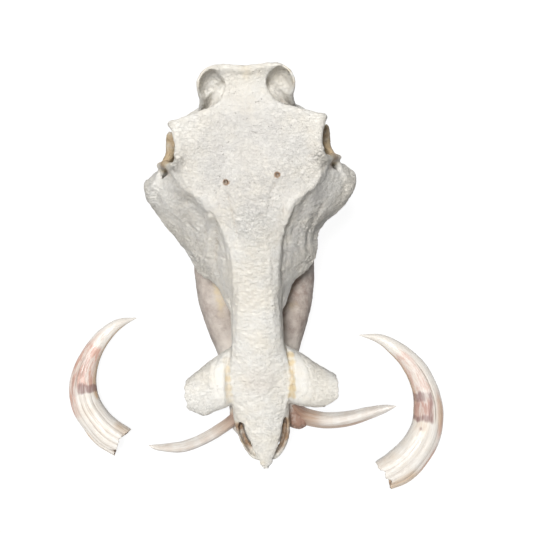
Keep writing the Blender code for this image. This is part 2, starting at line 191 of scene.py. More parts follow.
def bothSides(things):
    mirrored = []
    for thing in things:
        shape = bmesh.new()
        shape.from_mesh(settle(thing).data)
        bmesh.ops.scale(shape, vec=(-1.0, 1.0, 1.0), verts=shape.verts)
        mirrored.append(meshObject(thing.name, shape))
    return things + mirrored


def fuse(thing, voxel):
    remesh = thing.modifiers.new("Fuse", "REMESH")
    remesh.mode = "VOXEL"
    remesh.voxel_size = voxel * mm
    return settle(thing)


def rounded(thing, rounds):
    smooth = thing.modifiers.new("Smooth", "SMOOTH")
    smooth.factor = 0.5
    smooth.iterations = rounds
    return settle(thing)


def cut(thing, cutter):
    removal = thing.modifiers.new("Cut", "BOOLEAN")
    removal.operation = "DIFFERENCE"
    removal.solver = "EXACT"
    removal.object = cutter
    settle(thing)
    bpy.data.objects.remove(cutter)
    return thing


def triangles(thing):
    return sum(len(face.vertices) - 2 for face in thing.data.polygons)


def thinned(thing, most):
    now = triangles(thing)
    if now > most:
        fewer = thing.modifiers.new("Fewer", "DECIMATE")
        fewer.ratio = most / now
        settle(thing)
    return thing


# Reading, moving and marking a mesh's points

def readAll(items, field, width, kind=float):
    found = np.empty(len(items) * width, kind)
    items.foreach_get(field, found)
    return found.reshape(-1, width)


def pointsOf(thing):
    return readAll(thing.data.vertices, "co", 3)


def normalsOf(thing):
    return readAll(thing.data.vertex_normals, "vector", 3)


def edgesOf(thing):
    return readAll(thing.data.edges, "vertices", 2, int)


def placePoints(thing, points):
    thing.data.vertices.foreach_set("co", np.ascontiguousarray(points).ravel())
    thing.data.update()


def markPoints(thing, name, values):
    kind, slot = ("FLOAT", "value") if values.ndim == 1 else ("FLOAT_VECTOR", "vector")
    layer = thing.data.attributes.new(name, kind, "POINT")
    layer.data.foreach_set(slot, np.ascontiguousarray(values, np.float32).ravel())


def averaged(values, edges, rounds):
    count = len(values)
    low, high = edges.T
    links = np.maximum(np.bincount(low, minlength=count) + np.bincount(high, minlength=count), 1)
    flat = values.reshape(count, -1)
    for _ in range(rounds):
        near = [np.bincount(low, row[high], count) + np.bincount(high, row[low], count) for row in flat.T]
        flat = (flat + np.stack(near, axis=1) / links[:, None]) / 2
    return flat.reshape(values.shape)


def hollowness(thing, rounds):
    points = pointsOf(thing)
    moved = averaged(points, edgesOf(thing), rounds) - points
    return (moved * normalsOf(thing)).sum(axis=1) / mm


def cloud(places, size, seed, octaves=3):
    shifted = places / size + np.array((seed * 17.3, seed * 5.1, seed * 9.7))
    return np.array([noise.fractal(place, 1.0, 2.0, octaves) for place in shifted])


def nearLine(places, line, steps=6):
    path = smoothRows(line, steps)
    best = np.full(len(places), 1e9)
    share = np.zeros(len(places))
    for i, (start, end) in enumerate(zip(path, path[1:])):
        run = end - start
        t = np.clip((places - start) @ run / (run @ run), 0.0, 1.0)
        away = places - start - t[:, None] * run
        gap = np.hypot(away[:, 0], away[:, 1])
        closer = gap < best
        best = np.where(closer, gap, best)
        share = np.where(closer, (i + t) / (len(path) - 1), share)
    return best, share


def mark(line, wide, high, above, wobble=(0.0, 1.0), fade=0.12, upFrom=0.05):
    # a ridge (high over 0) or a groove (under 0) along a line seen from above, in mm; wobble is how far
    # the line strays and over what length, fade the share of the line over which each end runs out
    return {"line": np.array(line, float), "wide": wide, "high": high, "above": above,
            "wobble": wobble, "fade": fade, "upFrom": upFrom}


def lineMark(places, up, settings):
    line, wide = settings["line"], settings["wide"]
    flat, reach = places[:, :2], wide * 3.5
    near = np.all((flat > line.min(axis=0) - reach) & (flat < line.max(axis=0) + reach), axis=1)
    near &= (up > settings["upFrom"]) & (places[:, 2] > settings["above"])
    found = np.zeros(len(places))
    if not near.any():
        return found
    flat = flat[near]
    strays, size = settings["wobble"]
    if strays:
        spot = np.column_stack([flat, np.zeros(len(flat))])
        flat = flat + strays * np.column_stack([cloud(spot, size, 3, 2), cloud(spot, size, 4, 2)])
    gap, share = nearLine(flat, line)
    fade = settings["fade"]
    ends = ease(share, 0.0, fade) * ease(1 - share, 0.0, fade) if fade else 1.0
    found[near] = settings["high"] * np.exp(-((gap / wide) ** 2)) * ends * ease(up[near], 0.0, 0.3)
    return found


def pairs(*spots):
    return [(side * x, *others) for x, *others in spots for side in (-1, 1)]


def spotMark(places, spots):
    found = np.zeros(len(places))
    for x, y, z, radius, amount in spots:
        gap = np.linalg.norm(places - (x, y, z), axis=1)
        found = np.maximum(found, amount * (1 - ease(gap, radius * 0.35, radius)))
    return found


# Shader sums: a Wire is a socket, and sums on it add their Math nodes

class Wire:
    def __init__(self, tree, socket):
        self.tree = tree
        self.socket = socket

    def node(self, kind, settings, values, out=0):
        made = self.tree.nodes.new(kind)
        for name, value in settings.items():
            setattr(made, name, value)
        for name, value in values.items():
            if isinstance(value, Wire):
                self.tree.links.new(value.socket, made.inputs[name])
            else:
                made.inputs[name].default_value = value
        return Wire(self.tree, made.outputs[out])

    def math(self, operation, *others):
        return self.node("ShaderNodeMath", {"operation": operation}, dict(enumerate((self, *others))))

    def __add__(self, other):
        return self.math("ADD", other)

    def __sub__(self, other):
        return self.math("SUBTRACT", other)

    def __rsub__(self, other):
        return self.math("MULTIPLY", -1.0) + other

    def __mul__(self, other):
        return self.math("MULTIPLY", other)

    __radd__ = __add__

    def between(self, low, high):
        spread = {"From Min": low, "From Max": high, "Value": self}
        return self.node("ShaderNodeMapRange", {"interpolation_type": "SMOOTHSTEP"}, spread)

    def mix(self, first, second):
        ends = [value if isinstance(value, Wire) else (*value, 1.0) for value in (first, second)]
        return self.node("ShaderNodeMix", {"data_type": "RGBA"}, {0: self, 6: ends[0], 7: ends[1]}, out=2)

    def times(self, vector):
        return self.node("ShaderNodeVectorMath", {"operation": "MULTIPLY"}, {0: self, 1: vector})

    def grain(self, size, detail=3.0, rough=0.55, warp=0.0):
        sizes = {"Scale": 1.0 / size, "Detail": detail, "Roughness": rough, "Distortion": warp}
        return self.node("ShaderNodeTexNoise", {}, {"Vector": self, **sizes})

    def cells(self, size):
        return self.node("ShaderNodeTexVoronoi", {}, {"Vector": self, "Scale": 1.0 / size})


def newFinish(name):
    made = bpy.data.materials.new(name)
    made.use_nodes = True
    tree = made.node_tree
    shader = tree.nodes["Principled BSDF"]
    place = Wire(tree, None).node("ShaderNodeTexCoord", {}, {}, out="Object")
    return made, shader, place


def read(place, name, out="Fac"):
    return place.node("ShaderNodeAttribute", {"attribute_name": name}, {}, out)


def apply(shader, socket, wire):
    wire.tree.links.new(wire.socket, shader.inputs[socket])


def bumped(height, depth):
    return height.node("ShaderNodeBump", {}, {"Strength": 1.0, "Distance": depth, "Height": height})


boneFinish = {
    "cream": (0.86, 0.81, 0.715),
    "chalk": (0.87, 0.85, 0.80),
    # grey of the painted shade
    "shadeGrey": (0.66, 0.635, 0.60),
    "warm": (0.79, 0.65, 0.42),
    "brownAndHoleShade": (0.40, 0.26, 0.16),
    # near-black painted shade inside holes
    "pit": (0.10, 0.06, 0.04),
    # grime and painted shade in creases; also the colour of wrinkles and pores
    "creviceGrimeShade": (0.50, 0.43, 0.35),
    "rough": (0.6, 0.82),
    "relief": 0.0016,  # metres of fine bump
    # metres across a patch of each grain
    "broad": 0.038, "mottle": 0.006, "speck": 0.0014, "wrinkle": 0.003, "pore": 0.0032, "scatter": 0.012,
}


def boneMaterial(name, changes):
    look = {**boneFinish, **changes}
    made, shader, place = newFinish(name)
    broad = place.grain(look["broad"]).between(0.35, 0.65)
    mottle = place.grain(look["mottle"], 4.0, 0.65).between(0.3, 0.7)
    speck = place.grain(look["speck"], 3.0, 0.7)
    colour = (broad * 0.65 + mottle * 0.35).mix(look["cream"], look["chalk"])
    # painted shade greys the cheeks, the jaws' sides and other places
    paintedShade = read(place, "paintedShade") * (0.6 + mottle * 0.4)
    colour = paintedShade.mix(colour, look["shadeGrey"])
    warm = read(place, "warm")
    warm = (warm * (0.55 + broad * 0.6) + warm * (mottle - 0.5) * 0.4).between(0.1, 1.0)
    colour = warm.mix(colour, look["warm"])
    brownAndHoleShade = read(place, "brownAndHoleShade")
    colour = (brownAndHoleShade * (0.7 + mottle * 0.5)).between(0.05, 1.0).mix(colour, look["brownAndHoleShade"])
    colour = (brownAndHoleShade - 1.0).between(0.0, 0.45).mix(colour, look["pit"])  # over 1 it is painted shade inside a hole
    # creases and hollows darkened by grime and painted shade
    creviceGrimeShade = read(place, "creviceGrimeShade")
    grimeAndShade = (creviceGrimeShade * 0.8 + (speck - 0.5) * 0.35 * creviceGrimeShade.between(0.05, 0.6)).between(0.15, 1.3)
    colour = (grimeAndShade * 0.8).mix(colour, look["creviceGrimeShade"])
    worn = read(place, "worn")
    wrinkles = place.times((0.8, 1.25, 1.0)).grain(look["wrinkle"], 3.0, 0.62, 0.9)
    threads = 1 - (wrinkles - 0.5).math("ABSOLUTE").between(0.0, 0.06)
    colour = (((0.54 - wrinkles) * 2.0).between(0.0, 0.8) * (worn * 0.2)).mix(colour, look["creviceGrimeShade"])
    pores = place.cells(look["pore"]).between(0.0, 0.32)
    scatter = place.grain(look["scatter"], 2.0).between(0.48, 0.62)
    pinholes = (1 - pores) * scatter
    colour = (pinholes * 0.28).mix(colour, look["creviceGrimeShade"])
    apply(shader, "Base Color", colour)
    low, high = look["rough"]
    apply(shader, "Roughness", low + (mottle * 0.5 + speck * 0.5) * (high - low))
    fine = speck * 0.25 + (wrinkles + threads * 0.3) * worn + mottle * 0.3 - pinholes * 0.5
    shader.inputs["Specular IOR Level"].default_value = 0.35
    apply(shader, "Normal", bumped(fine, look["relief"]))
    return made


ivoryFinish = {
    "base": (0.82, 0.755, 0.67),
    "pale": (0.88, 0.85, 0.80),
    "tan": (0.66, 0.47, 0.30),
    "pink": (0.64, 0.40, 0.32),
    "stain": (0.27, 0.15, 0.14),
    "crack": (0.26, 0.18, 0.13),
    "rough": (0.28, 0.5),
    "relief": 0.00018,
    # metres across a streak of each grain
    "streak": 0.0016, "band": 0.012, "fine": 0.0006, "blotch": 0.006, "fibre": 0.0011, "dash": 0.0035,
}


def streaked(straight, stretch, size, detail=3.0, rough=0.6):
    return straight.times((1.0, 1.0, stretch)).grain(size, detail, rough)


def ivoryMaterial(name, changes):
    look = {**ivoryFinish, **changes}
    made, shader, place = newFinish(name)
    straight = read(place, "straight", "Vector")
    streaks = streaked(straight, 0.06, look["streak"], 4.0).between(0.3, 0.7)
    bands = straight.times((0.25, 0.25, 1.0)).grain(look["band"]).between(0.35, 0.65)
    fine = streaked(straight, 0.15, look["fine"], 2.0)
    colour = (streaks * 0.6 + bands * 0.4).mix(look["base"], look["pale"])
    # tan, partly painted shade on tusk faces and edges
    tan = (read(place, "tan") * (0.6 + streaks * 0.6)).between(0.1, 1.0)
    colour = tan.mix(colour, look["tan"])
    blotch = streaked(straight, 0.3, look["blotch"], 4.0, 0.65)
    fibres = streaked(straight, 0.03, look["fibre"]).between(0.5, 0.7)
    colour = (fibres * 0.22).mix(colour, look["crack"])
    dashes = streaked(straight, 0.12, look["dash"], 4.0, 0.65).between(0.4, 0.62)
    pink = read(place, "pink") * (0.3 + dashes * 0.9)
    colour = pink.mix(colour, look["pink"])
    stain = (read(place, "stain") * (0.35 + dashes * 0.35 + blotch * 0.7)).between(0.05, 0.95)
    colour = (stain * 0.85).mix(colour, look["stain"])
    crack = read(place, "crack")
    colour = (crack * (0.5 + streaks * 0.6)).mix(colour, look["crack"])
    apply(shader, "Base Color", colour)
    low, high = look["rough"]
    apply(shader, "Roughness", low + (streaks * 0.5 + stain * 0.5) * (high - low))
    shader.inputs["Specular IOR Level"].default_value = 0.45
    apply(shader, "Normal", bumped(streaks * 0.7 + fine * 0.3 + stain * 0.3, look["relief"]))
    return made


enamelFinish = {
    "worn": (0.46, 0.36, 0.23),
    "pale": (0.76, 0.68, 0.52),
    "tartar": (0.33, 0.24, 0.15),
    "rough": 0.3,
    "relief": 0.00025,
    "ridge": 0.0022, "patch": 0.007,
}


def enamelMaterial(name):
    look = enamelFinish
    made, shader, place = newFinish(name)
    ridges = place.times((1.0, 1.0, 0.2)).grain(look["ridge"]).between(0.35, 0.65)
    dark = place.grain(look["patch"]).between(0.4, 0.7)
    colour = ridges.mix(look["worn"], look["pale"])
    colour = (dark * 0.5).mix(colour, look["tartar"])
    apply(shader, "Base Color", colour)
    apply(shader, "Roughness", look["rough"] + dark * 0.3)
    apply(shader, "Normal", bumped(ridges, look["relief"]))
    return made


# The cranium: broad forms melted together, opened with cutters, then carved along lines

craniumShape = {
    "fuseVoxel": 2.1,
    "roundsBeforeCuts": 9,
    "carveVoxel": 1.35,
    "roundsAfterCuts": 2,
    "triangles": 192000,
    "roofWall": 9.0,
    "plateWall": 6.6,
    "flareWall": 3.2,
    "halfOut": 0.55,  # the roof's line between its middle and its edge: share of the way out,
    "halfUp": 0.62,  # and share of the way up from the edge to the middle
}


def roofForms():
    middle = [
        (0, -231, 106.5), (0, -198, 115), (0, -170, 121), (0, -120, 134), (0, -60, 152), (0, -16, 168),
        (0, 30, 186.5), (0, 60, 198.5), (0, 86, 206.5), (0, 105, 210.5), (0, 125, 214.5), (0, 142, 220),
        (0, 151, 224), (0, 158, 227), (0, 174, 233), (0, 188, 239),
    ]
    edge = [
        (6.0, -226, 105.5), (14.6, -198, 111), (24, -170, 115), (30.5, -120, 127), (26.5, -60, 148),
        (24, -16, 164), (29, 30, 184), (42, 58, 195), (66, 86, 199), (71, 104, 206), (70, 122, 215),
        (74, 141, 219), (47, 151, 221), (28, 158, 224), (19.5, 174, 232), (27, 188, 239),
    ]
    out, up, wall = (craniumShape[name] for name in ("halfOut", "halfUp", "roofWall"))
    half = [(x * out, y, z + (top - z) * up) for (_, _, top), (x, y, z) in zip(middle, edge)]
    others = [[(-x, y, z) for x, y, z in line] for line in (edge, half)]
    lines = (*others, middle, half, edge)
    lowered = [[(x, y, z - wall / 2) for x, y, z in line] for line in lines]
    return [sheet(lowered, wall, steps=4)]


def faceForms():
    muzzle = bar([
        (0, -158, 101, 26, 16), (0, -120, 106, 29, 24), (0, -80, 112, 29, 29), (0, -40, 120, 29, 36),
        (0, 0, 127, 30, 44), (0, 30, 136, 34, 48), (0, 55, 147, 37, 48), (0, 80, 162, 36, 42),
    ], power=2.8)
    braincase = bar([
        (0, 82, 175, 35, 25), (0, 110, 180, 36, 28.5), (0, 140, 184, 37, 32), (0, 160, 187, 36, 35),
    ], power=2.3)
    base = bar([(0, 60, 126, 19, 15), (0, 100, 140, 17, 13), (0, 140, 152, 21, 12), (0, 166, 160, 19, 11)])
    snoutFloor = bar([(0, -150, 86, 23, 5), (0, -185, 82, 19, 4), (0, -206, 82, 11, 4)])
    toothRows = bar([
        (31, 52, 92, 9, 12), (31.5, 20, 89, 10, 12), (30.5, -13, 89, 8.5, 12), (28, -36, 92, 5, 8),
    ])
    snoutSides = bar([
        (26, -158, 102, 5, 13), (26.5, -183, 95, 4.4, 10), (22, -201, 90, 4.4, 8),
        (13.5, -216, 86, 4.4, 6), (3, -221, 85, 4, 5),
    ])
    wings = bar([(19, 52, 104, 4, 12), (20, 72, 104, 3.5, 14), (18, 90, 122, 4, 14), (16, 102, 138, 6, 10)])
    return [muzzle, braincase, base, snoutFloor] + bothSides([toothRows, snoutSides, wings])


def cheekForms():
    face = sheet([
        [(22, -20, 163), (24, 14, 175), (31, 42, 188), (41, 57, 194),
         (54, 71, 197), (68, 87, 196), (76, 102, 192)],
        [(25, -28, 141), (31, 7, 149), (38, 30, 157), (47.5, 49, 165),
         (59, 64, 172), (72, 80, 176), (80, 100, 177)],
        [(27, -37, 121), (39, -9, 120), (53, 12, 125), (66, 39, 136),
         (77.5, 57, 145), (89, 74, 151), (95, 92, 154)],
        [(29, -47, 106), (42, -18, 101), (63, -2, 98), (80, 36, 109),
         (94, 55, 116), (105, 69, 123), (108, 84, 131)],
    ], craniumShape["plateWall"])
    knob = bar([(92, 64, 124, 7, 13), (102, 80, 128, 8, 19), (97, 98, 137, 8, 20)])
    knuckle = blob((105, 84, 133), (7.5, 16, 15), turn=-12)
    arch = bar([
        (97, 92, 139, 6, 20), (88, 108, 146, 5, 18), (80, 122, 150, 5, 16), (72, 135, 158, 5.5, 16),
        (62, 148, 171, 7, 12), (44, 156, 178, 9, 12),
    ])
    socketFront = bar([
        (71, 103, 205, 4, 5), (78, 103, 194, 4.5, 5), (83, 107, 179, 4, 6), (89, 108, 163, 4, 7),
    ])
    eyebrow = bar([
        (69, 108, 209, 5, 5), (67, 122, 213, 5, 5.5), (71, 139, 214, 5, 6), (75, 142, 203, 3.5, 4),
    ])
    cheekSpur = bar([(81, 126, 158, 4.5, 7), (80, 135, 170, 4, 6), (79, 139, 180, 3, 3)])
    return bothSides([face, knob, knuckle, arch, socketFront, eyebrow, cheekSpur])


def backForms():
    crest = sheet([
        [(-44, 171, 234), (-40, 181, 237), (-27, 187, 240), (0, 185, 240),
         (27, 187, 240), (40, 181, 237), (44, 171, 234)],
        [(-42, 166, 218), (-36, 176, 218), (-24, 181, 218), (0, 178, 218),
         (24, 181, 218), (36, 176, 218), (42, 166, 218)],
        [(-43, 160, 198), (-36, 167, 195), (-24, 171, 194), (0, 169, 194),
         (24, 171, 194), (36, 167, 195), (43, 160, 198)],
        [(-53, 152, 180), (-40, 160, 172), (-25, 165, 170), (0, 166, 170),
         (25, 165, 170), (40, 160, 172), (53, 152, 180)],
    ], craniumShape["plateWall"])
    rim = bar([
        (27, 186, 239, 3, 4), (40, 181, 236, 3, 4), (44.5, 171, 232, 3, 4), (43, 163, 212, 3, 5),
        (45, 158, 194, 4, 6),
    ])
    hingeSeat = blob((56, 140, 172), (17, 12, 7))
    earPost = bar([(42, 156, 186, 8, 8), (38, 156, 160, 8, 8), (37, 154, 122, 5.5, 6), (38, 150, 92, 3.5, 4)])
    earBulb = blob((25, 130, 140), (10, 13, 14))
    neckKnuckle = blob((16, 173, 162), (9, 12, 15))
    backRidge = bar([(0, 186, 230, 3, 4), (0, 181, 210, 3, 5), (0, 173, 188, 4, 6)])
    return [crest, backRidge] + bothSides([rim, hingeSeat, earPost, earBulb, neckKnuckle])


# The open tusk sockets: stations from inside the muzzle to the end of the flare
flareRows = [
    (14, -117, 108, 33, 21), (36, -125, 107, 28.5, 21), (52, -134, 105, 26, 19.5),
    (67, -139.5, 103, 23, 18.5), (80.5, -142.5, 101.5, 18.5, 17.5), (94, -145, 100, 14, 16.5),
]
# where each flare is broken off: y from back to front, and how far out its edge stands there
flareEdges = {
    -1: [(-118, 82.4), (-130, 83), (-142, 83.4), (-151, 82.2), (-157, 79), (-161, 71), (-166, 68),
         (-172, 64), (-178, 62)],
    1: [(-118, 85.4), (-130, 86.4), (-142, 86.2), (-150, 86), (-155, 80), (-160, 72), (-166, 69),
        (-172, 66), (-178, 64)],
}
# the sheet that breaks them off: its reach and points along y and z, how far out it ends, how ragged it is
flareCut = {"y": (-180, -110, 71), "z": (72, 132, 41), "far": 125.0, "ragged": 2.0}


def rimOf(grid):
    first, last = grid[0], grid[-1]
    return first + [row[-1] for row in grid[1:]] + last[-2::-1] + [row[0] for row in grid[-2:0:-1]]


def slab(inner, outer):
    shape = bmesh.new()
    grids = [[[shape.verts.new(point) for point in toFrame(row)] for row in grid] for grid in (inner, outer)]
    for grid in grids:
        weave(shape, grid, closed=False)
    weave(shape, [rimOf(grid) for grid in grids], closed=True)
    return meshObject("slab", shape)


def flareBreak(side):
    edge = np.array(flareEdges[side], float)
    y, z = np.meshgrid(np.linspace(*flareCut["y"]), np.linspace(*flareCut["z"]))
    out = np.interp(-y, -edge[:, 0], edge[:, 1])
    spots = np.column_stack([y.ravel(), z.ravel(), np.full(y.size, side * 9.0)])
    ragged = sum(cloud(spots, size, seed, octaves).reshape(y.shape) * flareCut["ragged"]
                 for size, seed, octaves in ((5.0, 61, 3), (17.0, 62, 2)))
    near = np.stack([side * (out + ragged), y, z], axis=-1)
    far = np.stack([np.full(y.shape, side * flareCut["far"]), y, z], axis=-1)
    return slab(near, far)


def flareSocket():
    wall = craniumShape["flareWall"]
    rows = [(x, y, z, wide - wall, high - wall) for x, y, z, wide, high in flareRows[1:]]
    reach = np.array(rows[-1]) * 2 - np.array(rows[-2])
    deep = (30, -123, 107, 17, 11)
    return bar([deep, *rows[1:], reach, reach * 2 - np.array(rows[-1])], power=2.3)


def craniumOpenings():
    nose = bar([
        (0, -240, 96, 14, 11), (0, -205, 97, 15, 10), (0, -165, 102, 18, 12), (0, -110, 110, 13, 15),
        (0, -60, 122, 14, 18),
    ])
    throat = bar([(0, 50, 101, 12, 11), (0, 75, 103, 13, 14), (0, 100, 104, 15, 16)])
    spineHole = bar([(0, 200, 168, 9.5, 10), (0, 150, 174, 11, 12)])
    cheekHole = bar([(50, -66, 121, 4.5, 6), (28, -42, 125, 4.5, 6), (22, -16, 128, 4, 5)])
    earHole = bar([(62, 150, 182, 3.5, 3.5), (46, 152, 176, 3.5, 3.5)])
    eye = blob((66, 121, 192), (17, 16, 17))
    scoop = blob((33, 169, 238), (11.5, 16, 26), turn=14)
    return [nose, throat, spineHole] + bothSides([cheekHole, earHole, eye, scoop, flareSocket()])


def noseSlits():
    right = bar([
        (-22.6, -175, 112, 2.6, 12), (-23.4, -184, 108, 4.4, 13), (-21.4, -196, 104, 5.2, 14),
        (-15.4, -210, 100, 4.2, 14), (-9, -218, 98, 2.0, 14),
    ], sides=16)
    left = bar([
        (25.8, -173, 112, 2.2, 11), (24.2, -182, 109, 3.4, 13), (20.8, -195, 104, 4.0, 14),
        (14.8, -208, 100, 3.3, 14), (10.4, -215, 98, 1.8, 14),
    ], sides=16)
    return [right, left]


def browHoles():
    left = [(26.6, 86, 216, 1.8, 2.0), (26.6, 88, 206, 1.8, 2.2), (25.9, 94, 195, 1.7, 1.7)]
    right = [(-24.4, 81, 216, 1.8, 2.0), (-24.2, 83, 205, 1.8, 2.2), (-23.6, 89, 194, 1.7, 1.7)]
    return [bar(rows, sides=12) for rows in (left, right)]


# The roof's ridges and grooves: points, half width, height, and the level that they stay above
craniumMarks = [
    mark([(-68.7, 105.6), (-64.4, 89.2), (-55.6, 73.6), (-41.6, 66), (-33.7, 54.4), (-29, 35.5),
          (-24.3, 14.7), (-22.6, -7.9), (-25.5, -30.8)], 3.4, 1.3, 130, wobble=(1.3, 12.0), fade=0.08),
    mark([(70.3, 95.2), (67.4, 84.5), (57.2, 72.6), (44, 64.9), (36.5, 55.4), (31.6, 38.5), (26.4, 12.4),
          (24.1, -10), (26.4, -33.2)], 3.0, 1.7, 130, wobble=(1.3, 12.0), fade=0.08),
    mark([(47, 61), (40.6, 42.4), (35.2, 35.4), (32.4, 12.1), (30.2, -10.3), (29.8, -22.5)], 2.4, -3.0,
          120, wobble=(1.8, 9.0)),
    mark([(43, 50), (38.6, 33), (36, 8), (33.6, -14)], 1.4, -1.1, 120),
    mark([(-44, 58), (-37, 38), (-32, 14), (-29.5, -12)], 3.2, -2.0, 120, wobble=(1.8, 9.0)),
    mark([(-24.4, 80), (-22.5, 66), (-19.5, 50), (-17, 30), (-16, 8)], 1.3, -1.3, 140, fade=0.5),
    mark([(26.6, 85), (24, 74), (21, 62), (19, 50), (18, 38)], 1.3, -1.3, 140, fade=0.5),
    mark([(-18, 40), (-19, 10), (-18.5, -30), (-20, -70)], 1.4, 0.5, 130, wobble=(1.4, 12.0)),
    mark([(14, 30), (16, 0), (17, -40), (19, -80)], 1.4, 0.6, 130, wobble=(1.4, 12.0)),
    mark([(-26, 26), (-24.5, 0), (-26, -26), (-29, -52)], 1.2, -0.9, 130, wobble=(1.4, 10.0)),
    mark([(-70, 76), (-58, 60), (-48, 44), (-40, 24), (-34, 0)], 7.0, -2.6, 110),
    mark([(62, 74), (52, 58), (43, 42), (37, 20)], 5.0, -2.2, 110),
    mark([(-46, 54), (-46.2, 31.8), (-50.3, 8)], 3.2, 2.2, 90, wobble=(1.5, 9.0)),
    mark([(-40, 50), (-40.5, 31), (-43, 6), (-38, -12)], 3.0, -2.0, 90),
    mark([(-72, 60), (-66, 44), (-61, 26), (-58, 8)], 3.6, -1.6, 90, wobble=(2.0, 9.0)),
    mark([(66, 66), (58, 48), (54, 30), (54, 8)], 3.0, 1.4, 90, wobble=(2.0, 9.0)),
    mark([(78, 66), (68, 48), (61, 30), (60, 8)], 3.0, -1.4, 90, wobble=(2.0, 9.0)),
    mark([(42.8, 43.2), (39, 27.9), (50.4, 7.2)], 1.8, 1.0, 90),
    mark([(-24.5, 81), (-23.1, 72.1), (-20.1, 60.8), (-17.3, 46.5), (-15.3, 29), (-16.3, 11.4)], 1.7, -1.1,
          140, fade=0.3),
    mark([(26.4, 86), (23.5, 78.3), (19.5, 68.8), (17.6, 56.2), (16.5, 46.3)], 1.7, -1.2, 140, fade=0.3),
    mark([(7.9, 33.8), (5.5, 13.3), (3, -9.1), (3.5, -32.1), (4.1, -55.7)], 1.5, -0.45, 130),
    mark([(8.1, 39.5), (14.3, 46.4), (17.5, 54.8)], 1.0, -0.3, 150),
    mark([(-66.3, 3.2), (-61.8, -5.1), (-50.6, -10.5), (-41.2, -19.1), (-33.7, -32.5), (-29.4, -45.8)],
          3.2, 1.1, 80, wobble=(2.0, 9.0), upFrom=-0.2),
    mark([(64, -2.7), (55.6, -7.3), (45.4, -16.6), (38.3, -29.3), (32.8, -42.1), (30.7, -51.8)], 3.0, 1.1,
          80, wobble=(2.0, 9.0), upFrom=-0.2),
    mark([(0.3, -20), (-0.5, -70), (0.2, -130), (-0.3, -205)], 0.9, -0.5, 100, wobble=(1.2, 14.0)),
    mark([(-26, -62), (-30, -88), (-31, -110), (-30, -135), (-27, -160)], 1.8, -0.6, 100,
          wobble=(1.2, 8.0)),
    mark([(26, -62), (31, -88), (33.5, -112), (34, -130), (30, -158)], 1.8, -0.8, 100, wobble=(1.0, 8.0)),
    mark([(-41.6, -93.1), (-50.1, -110.7), (-51.4, -123.6), (-48.9, -133.9), (-44.3, -143.0)], 1.3, -0.9,
          95, wobble=(1.6, 6.0)),
    mark([(-44.5, -94), (-53.5, -110.7), (-55, -123.6), (-52.5, -134.5)], 1.8, 0.7, 95, wobble=(1.6, 6.0)),
    mark([(47.0, -101.1), (53.6, -112.7), (55.1, -127.1), (52.3, -141.7), (49.1, -149.2)], 1.3, -0.7, 95,
          wobble=(1.6, 6.0)),
]

# Yellow-tan places, then places greyed as painted shade: x, y, z, radius, amount
craniumWarm = pairs(
    (79, 122, 188, 30, 1.15), (66, 122, 190, 24, 1.0), (84, 118, 158, 24, 1.0), (38, 184, 238, 12, 0.45),
    (45, 172, 232, 10, 0.4),
) + [
    (-35, -102, 122, 8, 0.4), (-35, -112, 122, 8, 0.5), (-35, -122, 122, 8, 0.55),
    (-34.5, -132, 122, 8, 0.55), (-34, -141, 120, 8, 0.5), (-33, -149, 118, 9, 0.4),
    (-31, -160, 110, 9, 0.3), (70, -118, 117, 5, 0.5), (33, -90, 119, 7, 0.6), (35, -99, 121, 7.5, 0.9),
    (36, -108, 122, 8, 1.0), (36.5, -117, 122, 8, 1.0), (36.5, -126, 122, 8, 1.0), (36, -135, 122, 8, 1.0),
    (34.5, -144, 120, 8, 0.9), (0, -216, 110, 15, 0.3), (-25, -178, 102, 12, 0.8),
    (25, -178, 102, 12, 0.9), (-18, -200, 98, 12, 0.9), (18, -200, 98, 12, 0.8), (0, 189, 240, 34, 0.35),
    (0, 108, 210, 22, 0.22), (0, -150, 95, 22, 0.6), (0, -190, 92, 20, 0.7), (0, 100, 120, 45, 0.4),
]
craniumShade = [
    (16, -20, 165, 12, 0.12), (17, -55, 152, 12, 0.12), (0, 100, 208, 90, 0.72), (0, 50, 194, 34, 0.35),
    (-74, 78, 172, 20, 0.5), (-63, 64, 162, 18, 0.5), (-51, 48, 156, 16, 0.5), (-41, 30, 147, 15, 0.45),
    (-34, 8, 142, 15, 0.4), (66, 70, 170, 22, 0.8), (53, 55, 162, 20, 0.8), (43, 38, 152, 18, 0.8),
    (36, 14, 146, 17, 0.7), (32, -14, 142, 14, 0.5), (72, 60, 150, 22, 0.45), (-32, 166, 215, 18, 0.1),
    (32, 166, 215, 18, 0.3), (-34, 150, 200, 22, 0.4), (34, 150, 200, 22, 0.5), (66, 44, 150, 42, 0.35),
    (52, 14, 130, 36, 0.32), (-64, 46, 150, 40, 0.45), (-50, 14, 130, 34, 0.42),
]


# where the forehead rolls over into the cheeks, seen from above, and how far the roll reaches
softEdges = [
    ([(-66, 92), (-55.6, 75), (-43, 66), (-34, 54), (-29, 35), (-24, 14), (-23, -8)], 14.0),
    ([(-23, -8), (-24, -35), (-26, -62), (-28, -90)], 11.0),
    ([(68, 90), (57, 73), (45, 65), (37, 55), (32, 38), (27, 12)], 10.0),
    ([(27, 12), (25, -12), (25, -40), (27, -70), (29, -95)], 10.0),
]
softRounds = 70


def soften(thing):
    places = toSkull(pointsOf(thing))
    weight = np.zeros(len(places))
    for line, wide in softEdges:
        gap, _ = nearLine(places[:, :2], line)
        weight = np.maximum(weight, np.exp(-((gap / wide) ** 2)) * (places[:, 2] > 120))
    smooth = averaged(places, edgesOf(thing), softRounds)
    placePoints(thing, toFrame(places + (smooth - places) * weight[:, None]))


# height in mm of each form on the face's back, and where the long ribs run at its edges
backShape = {
    "hollow": -2.2, "creases": 0.75, "ribs": 1.3,
    "y": (-160, -120, -60, -10, 15, 35, 60), "edge": (27, 31, 27, 24.5, 26, 31, 43),
}


